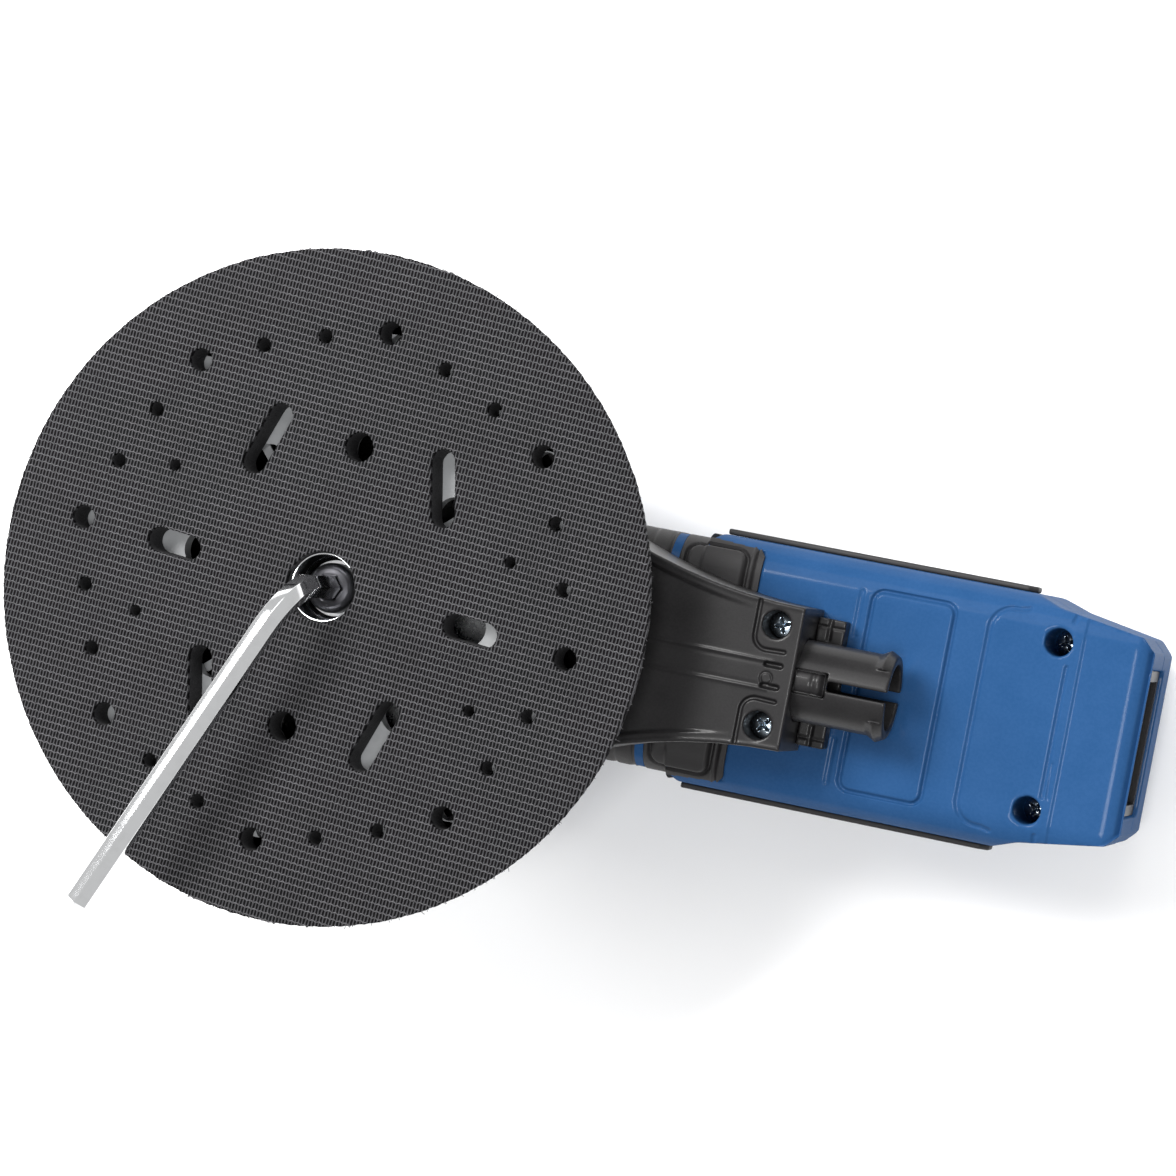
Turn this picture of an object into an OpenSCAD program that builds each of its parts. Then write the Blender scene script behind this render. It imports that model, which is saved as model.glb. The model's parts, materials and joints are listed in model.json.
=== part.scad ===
// Random orbital sander, mains powered, brushless, with a 150 mm multi-hole pad.
// It lies on its back with the pad face up: +Z is the pad's outward side, +X is the rear end.
// The origin is on the motor axis, in the plane that the palm grip and the rear heel rest on.

/* [Pad] */
// Diameter of the pad face
pad_d = 150; // [125:1:180]
// Height of the pad face above the resting plane
pad_face_z = 102; // [96:1:125]
// Thickness of the hook-and-loop face
hook_t = 1.6; // [1.0:0.1:2.5]
// Thickness of the foam
foam_t = 8.4; // [6:0.2:12]
// Thickness of the stiff backing plate
plate_t = 4; // [3:0.5:6]
// How far the foam's back edge is drawn in from its face
foam_draft = 4; // [2:0.5:8]
// Turn of the hole pattern from the tool's long axis
pad_turn = -5; // [-45:1:45]
// Number of large holes in the outer ring
ring_n = 8; // [6:1:10]
// Radius of the outer ring of large holes
ring_r = 58; // [52:0.5:59]
// Diameter of the large holes
ring_hole_d = 5.2; // [4:0.1:7]
// Radius of the outer ring of small holes
small_ring_r = 55.4; // [50:0.2:58]
// Diameter of the small holes
small_hole_d = 3.3; // [2:0.1:4]
// Radius of the inner ring where the slots begin
slot_r1 = 32; // [28:0.5:34]
// Radius where the slots end
slot_r2 = 39.2; // [36:0.2:42]
// Width of the slots
slot_w = 5.5; // [4:0.1:7]
// Turn of a skewed slot's outer end past its inner end
slot_skew = 15.2; // [0:0.2:20]
// Diameter of the backing plate's holes under the slots
plate_hole_d = 9; // [5:0.5:10]
// Diameter of the two round mid holes
mid_hole_d = 6.6; // [4:0.1:8]
// Radius of the four pin holes
pin_hole_r = 43.7; // [42:0.1:48]
// Angle of the four pin holes from the pattern's axis
pin_hole_a = 22.7; // [18:0.1:26]
// Diameter of the four pin holes
pin_hole_d = 2.6; // [1.5:0.1:3]
// Diameter of the well for the pad screw
well_d = 15.8; // [14:0.2:20]

/* [Drive] */
// Eccentricity of the pad's bearing, half of the sanding stroke
ecc = 2.5; // [1:0.1:3]
// Angle of the eccentric at rest
rest_turn = 168; // [0:1:360]
// Diameter of the drive shaft at the pad end
shaft_d = 10; // [8:0.5:12]
// Diameter of the drive shaft at the crown end
tail_d = 8; // [6:0.5:8]
// Outer diameter of the stator
stator_d = 62; // [54:1:64]
// Height of the stator stack
stack_h = 24; // [16:1:26]
// Diameter of the rotor over its magnets
rotor_d = 32; // [26:1:32]
// Gap between the magnets and the stator teeth
air_gap = 0.6; // [0.4:0.1:1]
// Number of stator teeth
teeth_n = 9; // [6:3:9]
// Running clearance of a turning shaft, on the radius
run_fit = 0.05; // [0.02:0.01:0.1]

/* [Housing] */
// Diameter of the motor head over the palm grip
head_d = 79; // [76:0.5:90]
// Thickness of the palm grip's rubber
grip_t = 3; // [2:0.5:4]
// Diameter of the crown's flat spot
crown_d = 36; // [24:1:40]
// Thickness of the moulded walls
wall = 2.5; // [2:0.1:3]
// Height of the parting line between the two housing halves
split_z = 36; // [34:0.5:38]
// Height of the rear body's underside above the resting plane
under_z = 57; // [56:0.5:60]
// Width of the rear body, without its bumper strips
rear_w = 57.6; // [56:0.2:72]
// Width of the waist over its side grips
waist_w = 54; // [50:0.5:56]
// Where the rear body begins, from the motor axis
rear_x0 = 71.5; // [70:0.5:80]
// Where the rear body starts to taper
taper_x = 147; // [144:0.5:152]
// The rear end, from the motor axis
rear_x1 = 175.5; // [172:0.5:211]
// Width of the rear end
tail_w = 47; // [44:0.5:52]
// Thickness of the rubber on the waist's sides
side_grip_t = 1.6; // [1:0.2:2]
// How far a bumper strip stands out of the rear body
strip_t = 1.4; // [0.6:0.1:2]

/* [Lever and dial] */
// Width of the paddle lever
lever_w = 34; // [26:1:36]
// Length of the paddle lever from its pin
lever_l = 60; // [52:1:62]
// Diameter of the lever's pin
lever_pin_d = 3; // [2:0.5:4]
// Diameter of the speed dial
dial_d = 25; // [20:1:26]
// Thickness of the speed dial
dial_t = 7; // [4:0.5:8]

/* [Dust duct] */
// Height of the duct's near face above the resting plane
duct_z = 79.6; // [78:0.2:81]
// Half width of the duct at its rear end
duct_half = 16.1; // [15:0.1:18]
// The duct's rear end, from the motor axis
duct_x1 = 101.2; // [98:0.2:104]
// How fast the duct widens towards the pad
duct_flare = 0.0043; // [0.002:0.0001:0.006]
// Outer diameter of the split outlet tube
tube_d = 18.4; // [16:0.2:19]
// Wall of the split outlet tube
tube_wall = 1.8; // [1.2:0.1:2.4]
// End of the outlet tube, from the motor axis
tube_x1 = 122; // [116:0.5:128]
// Width of the slot that splits the outlet tube
tube_slot = 2.3; // [1.5:0.1:3]

/* [Hex key] */
// Size of the hex key across its flats
key_af = 5; // [4:0.5:6]
// Reach of the key's long arm from the screw's axis
key_reach = 86; // [70:1:100]
// Height of the long arm's centre above the pad face
key_lift = 18.5; // [12:0.5:22]
// Direction of the key's long arm
key_turn = 245.6; // [0:0.2:360]

/* [Hidden] */
$fn = 64;

eps = 0.01;
big = 400;
touch = 0.05;

// Stack of the pad, from its face down
hook_z = pad_face_z - hook_t;
foam_z = hook_z - foam_t;
plate_z = foam_z - plate_t;
nose_h = 3.1;
flange_h = 2.5;
spindle_flange_z = plate_z - nose_h - flange_h;
washer_z = plate_z + 1.8;
washer_t = 1;
head_z = washer_z + washer_t;
head_h = 5;
screw_r = 4;

// Bearings, each as bore, outer diameter, width, ball diameter and number of balls
crown_brg = [tail_d, 22, 7, 4, 7];
front_brg = [shaft_d, 26, 8, 4.7, 8];
pad_brg = [12, 28, 8, 4.7, 9];
shoulder_h = 2.4;
pad_brg_z = spindle_flange_z - shoulder_h - pad_brg[2];
crown_brg_z = 8;

// Levels of the head
head_r = head_d / 2;
crown_r = crown_d / 2;
dome_r = head_r - crown_r;
grip_top = dome_r + 4.5;
shell_r = head_r - grip_t;
cavity_r = shell_r - wall;
collar_z = under_z + 1;
carrier_t = 4;
carrier_r = shell_r - touch;
carrier_screw_in = 3.4;
carrier_boss_r = 3;
stator_lap = 0.95;
front_brg_z = collar_z - front_brg[2];
stack_z = crown_brg_z + crown_brg[2] + 6;
coil_over = 4;
yoke_t = 4.5;
tooth_w = 5.6;
shroud_t = 2.2;
shroud_z1 = plate_z - 4;
shroud_r0 = head_r + 2;
shroud_r1 = 58;
brake_t = 3.2;

// Levels of the drive head
hub_r0 = 7;
hub_r = 9;
fan_z = collar_z + 3.2;
fan_h = 5.4;
fan_r = 30;
seat_wall = 3.2;
seat_r = pad_brg[1] / 2 + seat_wall;
seat_z0 = pad_brg_z - 4.6;
seat_z1 = pad_brg_z + pad_brg[2] + 1;
shaft_z1 = pad_brg_z - 1.5;
weight_r = 32;
weight_h = 7;
weight_half_angle = 60;

// Rear body
waist_x0 = 20;
saddle_z = 13;
heel_x0 = 118;
heel_x1 = 150;
tail_z = 20;
edge_r = 8;
strip_z1 = split_z + 11;
rear_screw_x = 154.2;
rear_screw_y = 19;
screw_head_r = 2.9;
counterbore_r = 3.15;
rear_head_z = under_z - 16;

// Lever
lever_pin_x = 48;
lever_pin_z = 7;
lever_t = 2.5;
lever_z = lever_pin_z - 3;
lever_ear_y = 12.4;
lever_ear_t = 3.6;
plunger_arm = 24;
spring_x = lever_pin_x + 44;
plunger_x = lever_pin_x + plunger_arm;
plunger_z = saddle_z + 0.6;
plunger_r = 1.8;
switch_z = saddle_z + wall + 0.6;

// Speed dial
dial_x = 134;
dial_z = dial_d / 2 + 1;
dial_shaft_r = 3;
pot_y0 = dial_t / 2 + 1.2;

// Board and inlet
board_z = 33;
board_t = 1.6;
inlet_w = 33;
inlet_z0 = 30.6;
inlet_z1 = under_z - wall - touch;
inlet_x0 = rear_screw_x + 4.3;
inlet_x1 = rear_x1 - 1;
inlet_wall = 2.4;

// Duct and outlet
duct_z0 = under_z + 0.3;
duct_wall = 2;
duct_x0 = 44;
duct_screw_x = 95.4;
duct_screw_y = 11.3;
tube_r = tube_d / 2;
tube_z = under_z + 2 + tube_r;
port_x0 = duct_screw_x + 3.4;
duct_max_half = 24;
lug_x1 = duct_x1 + 6.4;

function duct_half_at(x) = min(duct_max_half, duct_half + duct_flare * pow(duct_x1 - x, 2));

// ---------------------------------------------------------------- shared shapes

// A flat ring or tube standing on z
module ring(r_out, r_in, z, h) {
    translate([0, 0, z]) difference() {
        cylinder(r = r_out, h = h);
        translate([0, 0, -1]) cylinder(r = r_in, h = h + 2);
    }
}

// A box given by its low and high corners
module span(a, b) {
    translate(a) cube([b[0] - a[0], b[1] - a[1], b[2] - a[2]]);
}

// Two copies, one on each side of the tool
module both_sides() {
    children();
    mirror([0, 1, 0]) children();
}

// Places its children on the pad's axis, turned with the pad's hole pattern
module at_pad() {
    rotate([0, 0, rest_turn]) translate([ecc, 0, 0]) rotate([0, 0, -rest_turn]) children();
}

// Mid radius of a bearing's balls
function pitch_r(b) = (b[0] + b[1]) / 4;

module race_outer(b, z) {
    difference() {
        ring(b[1] / 2, pitch_r(b) + b[3] * 0.28, z, b[2]);
        translate([0, 0, z + b[2] / 2]) rotate_extrude() {
            translate([pitch_r(b), 0]) circle(r = b[3] / 2 + run_fit);
        }
    }
}

module race_inner(b, z) {
    difference() {
        ring(pitch_r(b) - b[3] * 0.28, b[0] / 2, z, b[2]);
        translate([0, 0, z + b[2] / 2]) rotate_extrude() {
            translate([pitch_r(b), 0]) circle(r = b[3] / 2 + run_fit);
        }
    }
}

module race_balls(b, z) {
    for (i = [0 : b[4] - 1]) {
        rotate([0, 0, i * 360 / b[4]]) translate([pitch_r(b), 0, z + b[2] / 2]) sphere(r = b[3] / 2);
    }
}

// A countersunk machine screw with a cross recess, its head's top at z = 0, pointing down
module screw(r_head, r_shank, length) {
    difference() {
        union() {
            translate([0, 0, -2.2]) cylinder(r = r_head, h = 2.2);
            translate([0, 0, -2.2 - length]) cylinder(r = r_shank, h = length + eps);
        }
        for (a = [0, 90]) {
            rotate([0, 0, a]) translate([-r_head * 0.6, -0.45, -1.2]) cube([r_head * 1.2, 0.9, 2]);
        }
    }
}

// ---------------------------------------------------------------- pad

module slot_cut(a1, a2, w, z, h) {
    p = [slot_r1 * cos(a1), slot_r1 * sin(a1)];
    q = [slot_r2 * cos(a2), slot_r2 * sin(a2)];
    length = norm(q - p);
    translate([p[0], p[1], z]) rotate([0, 0, atan2(q[1] - p[1], q[0] - p[0])]) {
        cylinder(d = w, h = h);
        translate([length, 0, 0]) cylinder(d = w, h = h);
        translate([0, -w / 2, 0]) cube([length, w, h]);
    }
}

// Every hole of the pad's face except its centre well
module face_holes(z, h) {
    for (i = [0 : ring_n - 1]) {
        rotate([0, 0, i * 360 / ring_n]) translate([ring_r, 0, z]) cylinder(d = ring_hole_d, h = h);
        for (k = [1, 2]) {
            rotate([0, 0, (i + k / 3) * 360 / ring_n]) translate([small_ring_r, 0, z]) {
                cylinder(d = small_hole_d, h = h);
            }
        }
    }
    for (a = [90, 270]) {
        rotate([0, 0, a]) translate([slot_r1, 0, z]) cylinder(d = mid_hole_d, h = h);
    }
    for (a = [pin_hole_a, 180 - pin_hole_a, 180 + pin_hole_a, -pin_hole_a]) {
        rotate([0, 0, a]) translate([pin_hole_r, 0, z]) cylinder(d = pin_hole_d, h = h);
    }
    for (a = [0, 180]) {
        slot_cut(a, a, slot_w, z, h);
        slot_cut(a + 45, a + 45 + slot_skew, slot_w, z, h);
        slot_cut(a - 45, a - 45 - slot_skew, slot_w, z, h);
    }
}

module hook_face() {
    color([0.2, 0.2, 0.21]) at_pad() rotate([0, 0, pad_turn]) difference() {
        ring(pad_d / 2, well_d / 2, hook_z, hook_t);
        face_holes(hook_z - 1, hook_t + 2);
    }
}

module pad_foam() {
    color([0.1, 0.1, 0.11]) at_pad() rotate([0, 0, pad_turn]) difference() {
        translate([0, 0, foam_z]) {
            cylinder(r1 = pad_d / 2 - foam_draft, r2 = pad_d / 2 - 0.4, h = foam_t, $fn = 96);
        }
        translate([0, 0, foam_z - 1]) cylinder(d = well_d, h = foam_t + 2);
        face_holes(foam_z - 1, foam_t + 2);
    }
}

module backing_plate() {
    color([0.72, 0.73, 0.74]) at_pad() rotate([0, 0, pad_turn]) difference() {
        union() {
            translate([0, 0, plate_z]) cylinder(r = pad_d / 2 - foam_draft - 0.5, h = plate_t);
            translate([0, 0, plate_z - nose_h]) cylinder(r = 15, h = nose_h + 1);
            for (i = [0 : 11]) {
                rotate([0, 0, i * 30 + 15]) span([14, -1, plate_z - 1.8], [50, 1, plate_z + 1]);
            }
        }
        translate([0, 0, washer_z]) cylinder(d = well_d, h = plate_t);
        translate([0, 0, plate_z - nose_h - 1]) cylinder(r = 7 + touch, h = nose_h + 1.5);
        translate([0, 0, plate_z - nose_h]) cylinder(r = screw_r + 0.2, h = 20);
        for (i = [0 : ring_n - 1]) {
            rotate([0, 0, i * 360 / ring_n]) {
                translate([ring_r - 2, 0, plate_z - 1]) cylinder(d = ring_hole_d, h = plate_t + 2);
                translate([slot_r1, 0, plate_z - 1]) cylinder(d = plate_hole_d, h = plate_t + 2);
            }
        }
    }
}

// Cupped steel washer that lines the pad's well
module screw_cup_washer() {
    rim = 0.7;
    color([0.8, 0.81, 0.82]) at_pad() difference() {
        translate([0, 0, washer_z]) cylinder(r = well_d / 2 - touch, h = hook_z - washer_z - 0.8);
        translate([0, 0, head_z]) cylinder(r = well_d / 2 - touch - rim, h = 20);
        translate([0, 0, washer_z - 1]) cylinder(r = screw_r + 0.1, h = 20);
    }
}

module pad_screw() {
    head_r2 = 5.6;
    socket = 4.2;
    color([0.12, 0.12, 0.13]) at_pad() difference() {
        union() {
            translate([0, 0, head_z]) cylinder(r = head_r2, h = head_h - 1.8);
            translate([0, 0, head_z + head_h - 1.8 - eps]) cylinder(r1 = head_r2, r2 = 3.9, h = 1.8);
            translate([0, 0, pad_brg_z + 1]) cylinder(r = screw_r - touch, h = head_z - pad_brg_z);
        }
        rotate([0, 0, key_turn]) translate([0, 0, head_z + head_h - socket]) {
            cylinder(r = (key_af / 2 + 0.06) / cos(30), h = socket + 1, $fn = 6);
        }
    }
}

module pad_spindle() {
    nose_r = 7;
    stem_z = pad_brg_z - 0.4;
    color([0.6, 0.61, 0.62]) at_pad() difference() {
        union() {
            translate([0, 0, stem_z]) cylinder(d = pad_brg[0] - 2 * touch, h = spindle_flange_z - stem_z);
            translate([0, 0, spindle_flange_z - shoulder_h]) cylinder(r = 7.2, h = shoulder_h + eps);
            translate([0, 0, spindle_flange_z]) cylinder(r = 11, h = flange_h);
            translate([0, 0, spindle_flange_z + flange_h - eps]) cylinder(r = nose_r, h = nose_h + 0.4);
        }
        translate([0, 0, stem_z - 1]) cylinder(r = screw_r, h = 40);
    }
}

module pad_bearing_outer() {
    color([0.7, 0.71, 0.72]) at_pad() race_outer(pad_brg, pad_brg_z);
}

module pad_bearing_inner() {
    color([0.66, 0.67, 0.68]) at_pad() race_inner(pad_brg, pad_brg_z);
}

module pad_bearing_balls() {
    color([0.85, 0.85, 0.86]) at_pad() race_balls(pad_brg, pad_brg_z);
}

// ---------------------------------------------------------------- drive

module eccentric_carrier() {
    color([0.55, 0.56, 0.57]) difference() {
        union() {
            translate([0, 0, collar_z + 0.2]) cylinder(r = hub_r0, h = 3);
            translate([0, 0, fan_z - 0.8]) cylinder(r = hub_r, h = seat_z0 - fan_z + 1);
            at_pad() translate([0, 0, seat_z0]) cylinder(r = seat_r, h = seat_z1 - seat_z0);
        }
        translate([0, 0, collar_z - 1]) cylinder(d = shaft_d + 2 * touch, h = shaft_z1 - collar_z + 1.3);
        at_pad() {
            translate([0, 0, pad_brg_z - 0.05]) cylinder(r = pad_brg[1] / 2 + touch, h = 20);
            translate([0, 0, pad_brg_z - 1]) cylinder(r = 8.6, h = 3);
        }
    }
}

// Wire ring that keeps the pad's bearing in its seat
module bearing_circlip() {
    clip_h = 0.8;
    color([0.3, 0.3, 0.31]) at_pad() difference() {
        ring(pad_brg[1] / 2 - 0.02, pad_brg[1] / 2 - 1.8, pad_brg_z + pad_brg[2] + 0.05, clip_h);
        span([4, -3, pad_brg_z], [20, 3, pad_brg_z + 20]);
    }
}

module counterweight() {
    color([0.62, 0.6, 0.55]) difference() {
        rotate([0, 0, rest_turn + 180 - weight_half_angle]) translate([0, 0, seat_z0 + 0.4]) {
            rotate_extrude(angle = 2 * weight_half_angle) {
                translate([hub_r + 1, 0]) square([weight_r - hub_r - 1, weight_h]);
            }
        }
        at_pad() cylinder(r = seat_r + 0.02, h = 100);
    }
}

module dust_fan() {
    blades = 11;
    hub_fit = 0.05;
    color([0.16, 0.16, 0.17]) {
        ring(fan_r, hub_r + hub_fit, fan_z, 1.2);
        ring(hub_r + 2.4, hub_r + hub_fit, fan_z + 1.2 - eps, fan_h - 2.4);
        for (i = [0 : blades - 1]) {
            rotate([0, 0, i * 360 / blades]) translate([hub_r + 2, 0, fan_z + 1.2 - eps]) {
                rotate([0, 0, 24]) cube([fan_r - hub_r - 6, 1.2, fan_h - 1.6]);
            }
        }
    }
}

module motor_shaft() {
    color([0.7, 0.71, 0.72]) {
        step_z = front_brg_z - 0.6;
        translate([0, 0, crown_brg_z]) cylinder(d = tail_d - 2 * touch, h = step_z - crown_brg_z + eps);
        translate([0, 0, step_z]) cylinder(d = shaft_d - 2 * touch, h = shaft_z1 - step_z);
    }
}

module rotor_core() {
    color([0.45, 0.45, 0.46]) ring(rotor_d / 2 - 2, tail_d / 2, stack_z, stack_h);
}

module rotor_magnets() {
    poles = 6;
    color([0.35, 0.36, 0.4]) for (i = [0 : poles - 1]) {
        rotate([0, 0, i * 360 / poles]) translate([0, 0, stack_z]) rotate_extrude(angle = 360 / poles - 6) {
            translate([rotor_d / 2 - 2 + touch, 0]) square([2 - touch, stack_h]);
        }
    }
}

// Laminated ring with inward teeth
module stator_core() {
    bore_r = rotor_d / 2 + air_gap;
    shoe_w = 9.2;
    color([0.5, 0.5, 0.52]) translate([0, 0, stack_z]) linear_extrude(stack_h) difference() {
        union() {
            difference() {
                circle(r = stator_d / 2);
                circle(r = stator_d / 2 - yoke_t);
            }
            for (i = [0 : teeth_n - 1]) {
                rotate(i * 360 / teeth_n) {
                    translate([bore_r - 0.5, -tooth_w / 2]) {
                        square([stator_d / 2 - yoke_t + 1.5 - bore_r, tooth_w]);
                    }
                    translate([bore_r - 0.5, -shoe_w / 2]) square([1.9, shoe_w]);
                }
            }
        }
        circle(r = bore_r);
    }
}

module stator_windings() {
    r0 = rotor_d / 2 + air_gap + 1.7;
    coil_w = 2 * r0 * tan(180 / teeth_n) - 1;
    r1 = sqrt(pow(stator_d / 2 - yoke_t, 2) - pow(coil_w / 2, 2)) - 0.2;
    color([0.72, 0.42, 0.18]) for (i = [0 : teeth_n - 1]) {
        rotate([0, 0, i * 360 / teeth_n]) difference() {
            span([r0, -coil_w / 2, stack_z - coil_over],
                [r1, coil_w / 2, stack_z + stack_h + coil_over]);
            span([r0 - 1, -tooth_w / 2 - 0.1, stack_z - 0.1],
                [r1 + 1, tooth_w / 2 + 0.1, stack_z + stack_h + 0.1]);
        }
    }
}

module crown_bearing_outer() {
    color([0.7, 0.71, 0.72]) race_outer(crown_brg, crown_brg_z);
}

module crown_bearing_inner() {
    color([0.66, 0.67, 0.68]) race_inner(crown_brg, crown_brg_z);
}

module crown_bearing_balls() {
    color([0.85, 0.85, 0.86]) race_balls(crown_brg, crown_brg_z);
}

module front_bearing_outer() {
    color([0.7, 0.71, 0.72]) race_outer(front_brg, front_brg_z);
}

module front_bearing_inner() {
    color([0.66, 0.67, 0.68]) race_inner(front_brg, front_brg_z);
}

module front_bearing_balls() {
    color([0.85, 0.85, 0.86]) race_balls(front_brg, front_brg_z);
}

// Cast bridge that carries the bearing at the pad end of the motor
module motor_carrier() {
    lip = 1.6;
    cup_r = front_brg[1] / 2 + 3;
    color([0.68, 0.69, 0.7]) difference() {
        union() {
            translate([0, 0, collar_z - carrier_t]) cylinder(r = carrier_r, h = carrier_t);
            translate([0, 0, front_brg_z - lip]) cylinder(r = cup_r, h = front_brg[2] + lip);
        }
        translate([0, 0, front_brg_z]) cylinder(d = front_brg[1] + 2 * touch, h = 20);
        translate([0, 0, 0]) cylinder(d = front_brg[1] - 6, h = 80);
        for (a = [45 : 90 : 315]) {
            rotate([0, 0, a]) translate([carrier_r - carrier_screw_in, 0, 0]) {
                cylinder(r = 1.7, h = 80);
                translate([0, 0, collar_z - 2.3]) cylinder(r = 2.5, h = 10);
            }
        }
        for (a = [0 : 60 : 300]) {
            rotate([0, 0, a]) translate([24.5, 0, 0]) cylinder(r = 4.5, h = 80);
        }
    }
}

module carrier_screws() {
    color([0.5, 0.5, 0.52]) for (a = [45 : 90 : 315]) {
        rotate([0, 0, a]) translate([carrier_r - carrier_screw_in, 0, collar_z - 0.05]) screw(2.4, 1.6, 6);
    }
}

// ---------------------------------------------------------------- shroud and duct

// Outside of the flared shroud, grown by g
module shroud_envelope(g) {
    translate([0, 0, collar_z - g]) cylinder(r = shroud_r0 + g, h = 8 + g + eps);
    translate([0, 0, collar_z + 8]) {
        cylinder(r1 = shroud_r0 + g, r2 = shroud_r1 + g, h = shroud_z1 - collar_z - 8);
    }
}

module shroud() {
    color([0.13, 0.13, 0.14]) difference() {
        shroud_envelope(0);
        translate([0, 0, collar_z + shroud_t]) cylinder(r = shroud_r0 - shroud_t, h = 6 + eps);
        translate([0, 0, collar_z + 8]) {
            cylinder(r1 = shroud_r0 - shroud_t, r2 = shroud_r1 - shroud_t, h = shroud_z1 - collar_z - 8 + eps);
        }
        translate([0, 0, collar_z - 1]) cylinder(r = front_brg[1] / 2 - 1, h = 5);
        span([30, -14, collar_z + shroud_t + 1], [70, 14, duct_z - duct_wall - 1]);
    }
}

// Rubber seal that slows the pad's free spin
module pad_brake_ring() {
    color([0.08, 0.08, 0.08]) difference() {
        translate([0, 0, shroud_z1]) cylinder(r1 = shroud_r1, r2 = shroud_r1 + 1.2, h = brake_t);
        translate([0, 0, shroud_z1 - 1]) cylinder(r = shroud_r1 - shroud_t - 1, h = brake_t + 2);
    }
}

function duct_side(x0, x1, inset) =
    [for (i = [0 : 8]) let (x = x0 + (x1 - x0) * i / 8) [x, duct_half_at(x) - inset]];

// Plan of the duct with its walls drawn in by inset
module duct_plan(x0, x1, inset) {
    side = duct_side(x0, x1, inset);
    far = [for (i = [8 : -1 : 0]) [side[i][0], -side[i][1]]];
    polygon(concat(side, far));
}

module dust_duct() {
    rib_y = 2.4;
    color([0.16, 0.16, 0.17]) difference() {
        translate([0, 0, duct_z0]) linear_extrude(duct_z - duct_z0) duct_plan(duct_x0, duct_x1, 0);
        translate([0, 0, duct_z0 + duct_wall]) linear_extrude(duct_z - duct_z0 - 2 * duct_wall) {
            duct_plan(duct_x0 - 1, port_x0 - duct_wall - 6, duct_wall);
        }
        shroud_envelope(0.1);
        cylinder(r = head_r + touch, h = collar_z + touch);
        translate([80, 0, tube_z]) rotate([0, 90, 0]) cylinder(r = tube_r - tube_wall, h = 40);
        translate([port_x0 - touch, 0, tube_z]) rotate([0, 90, 0]) cylinder(r = tube_r + touch, h = 40);
        both_sides() {
            translate([duct_screw_x, duct_screw_y, duct_z - 9]) cylinder(r = counterbore_r, h = 20);
            translate([duct_screw_x, duct_screw_y, 0]) cylinder(r = 1.7, h = 80);
            span([68, rib_y - 0.35, duct_z - 0.6], [98, rib_y + 0.35, duct_z + 1]);
        }
    }
}

// Split outlet tube with barbs, and the foot that carries it
module dust_port() {
    barb = 1.1;
    color([0.15, 0.15, 0.16]) difference() {
        union() {
            translate([port_x0, 0, tube_z]) rotate([0, 90, 0]) cylinder(r = tube_r, h = tube_x1 - port_x0);
            intersection() {
                translate([tube_x1 - 4, 0, tube_z]) rotate([0, 90, 0]) union() {
                    cylinder(r1 = tube_r, r2 = tube_r + barb, h = 2);
                    translate([0, 0, 2 - eps]) cylinder(r1 = tube_r + barb, r2 = tube_r, h = 2);
                }
                both_sides() span([0, 6, 0], [big, 20, 90]);
            }
            span([duct_x1 + 0.1, -14.5, duct_z0], [lug_x1, 14.5, duct_z0 + 5.5]);
            span([duct_x1 + 0.1, -2.5, tube_z], [tube_x1 - 14, 2.5, tube_z + tube_r + 0.6]);
        }
        translate([port_x0 - 1, 0, tube_z]) rotate([0, 90, 0]) cylinder(r = tube_r - tube_wall, h = 60);
        span([tube_x1 - 13.5, -tube_slot / 2, 0], [big, tube_slot / 2, 90]);
    }
}

module duct_screws() {
    color([0.45, 0.47, 0.5]) both_sides() {
        translate([duct_screw_x, duct_screw_y, duct_z - 6.8]) screw(screw_head_r, 1.6, 20);
    }
}

// ---------------------------------------------------------------- housing

// Solid of the motor head, its skin drawn in by inset, below height z1
module head_solid(r, inset, z1) {
    corner = r - crown_r - inset;
    rotate_extrude($fn = 96) {
        intersection() {
            union() {
                translate([crown_r, dome_r]) circle(r = corner + eps);
                translate([0, head_r - r + inset]) square([crown_r, z1 - inset - head_r + r]);
                translate([0, dome_r]) square([r - inset, z1 - dome_r]);
            }
            square([r, z1]);
        }
    }
}

module rear_plan(inset) {
    w = rear_w / 2 - inset;
    t = tail_w / 2 - inset;
    x0 = rear_x0 + inset;
    x1 = rear_x1 - inset;
    polygon([
        [x0, -w + 2], [x0 + 2, -w], [taper_x, -w], [taper_x + 6, -w + 2.2], [x1 - 3, -t], [x1, -t + 3],
        [x1, t - 3], [x1 - 3, t], [taper_x + 6, w - 2.2], [taper_x, w], [x0 + 2, w], [x0, w - 2]
    ]);
}

// Side view of the waist and rear body, lying on its back
module side_profile(x0, inset) {
    polygon([
        [x0, saddle_z + inset],
        [heel_x0 - 5 + inset, saddle_z + inset],
        [heel_x0 + inset, inset],
        [heel_x1 - inset * 0.4, inset],
        [rear_x1 - inset, tail_z + inset],
        [rear_x1 - inset, under_z - inset - 1.5],
        [rear_x1 - inset - 1.5, under_z - inset],
        [x0, under_z - inset]
    ]);
}

// Cross section of the body, corners rounded
module cross_section(w, inset) {
    hw = w / 2 - inset;
    r = edge_r - inset;
    low = inset;
    high = under_z - inset;
    translate([-hw + r, low]) square([2 * (hw - r), high - low]);
    translate([-hw, low + r]) square([2 * hw, high - low - 2 * r]);
    for (y = [-hw + r, hw - r], z = [low + r, high - r]) {
        translate([y, z]) circle(r = r);
    }
}

module along_x(x0, x1) {
    translate([x0, 0, 0]) rotate([90, 0, 90]) linear_extrude(x1 - x0) children();
}

module along_y(w) {
    translate([0, w, 0]) rotate([90, 0, 0]) linear_extrude(2 * w) children();
}

module waist_solid(w, inset) {
    intersection() {
        along_x(waist_x0, rear_x0 + 3) cross_section(w, inset);
        along_y(60) side_profile(waist_x0, inset);
    }
}

module rear_solid(inset) {
    intersection() {
        along_x(rear_x0 + inset, rear_x1) cross_section(rear_w, inset);
        along_y(60) side_profile(rear_x0 + inset, inset);
        linear_extrude(80) rear_plan(inset);
    }
}

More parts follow.
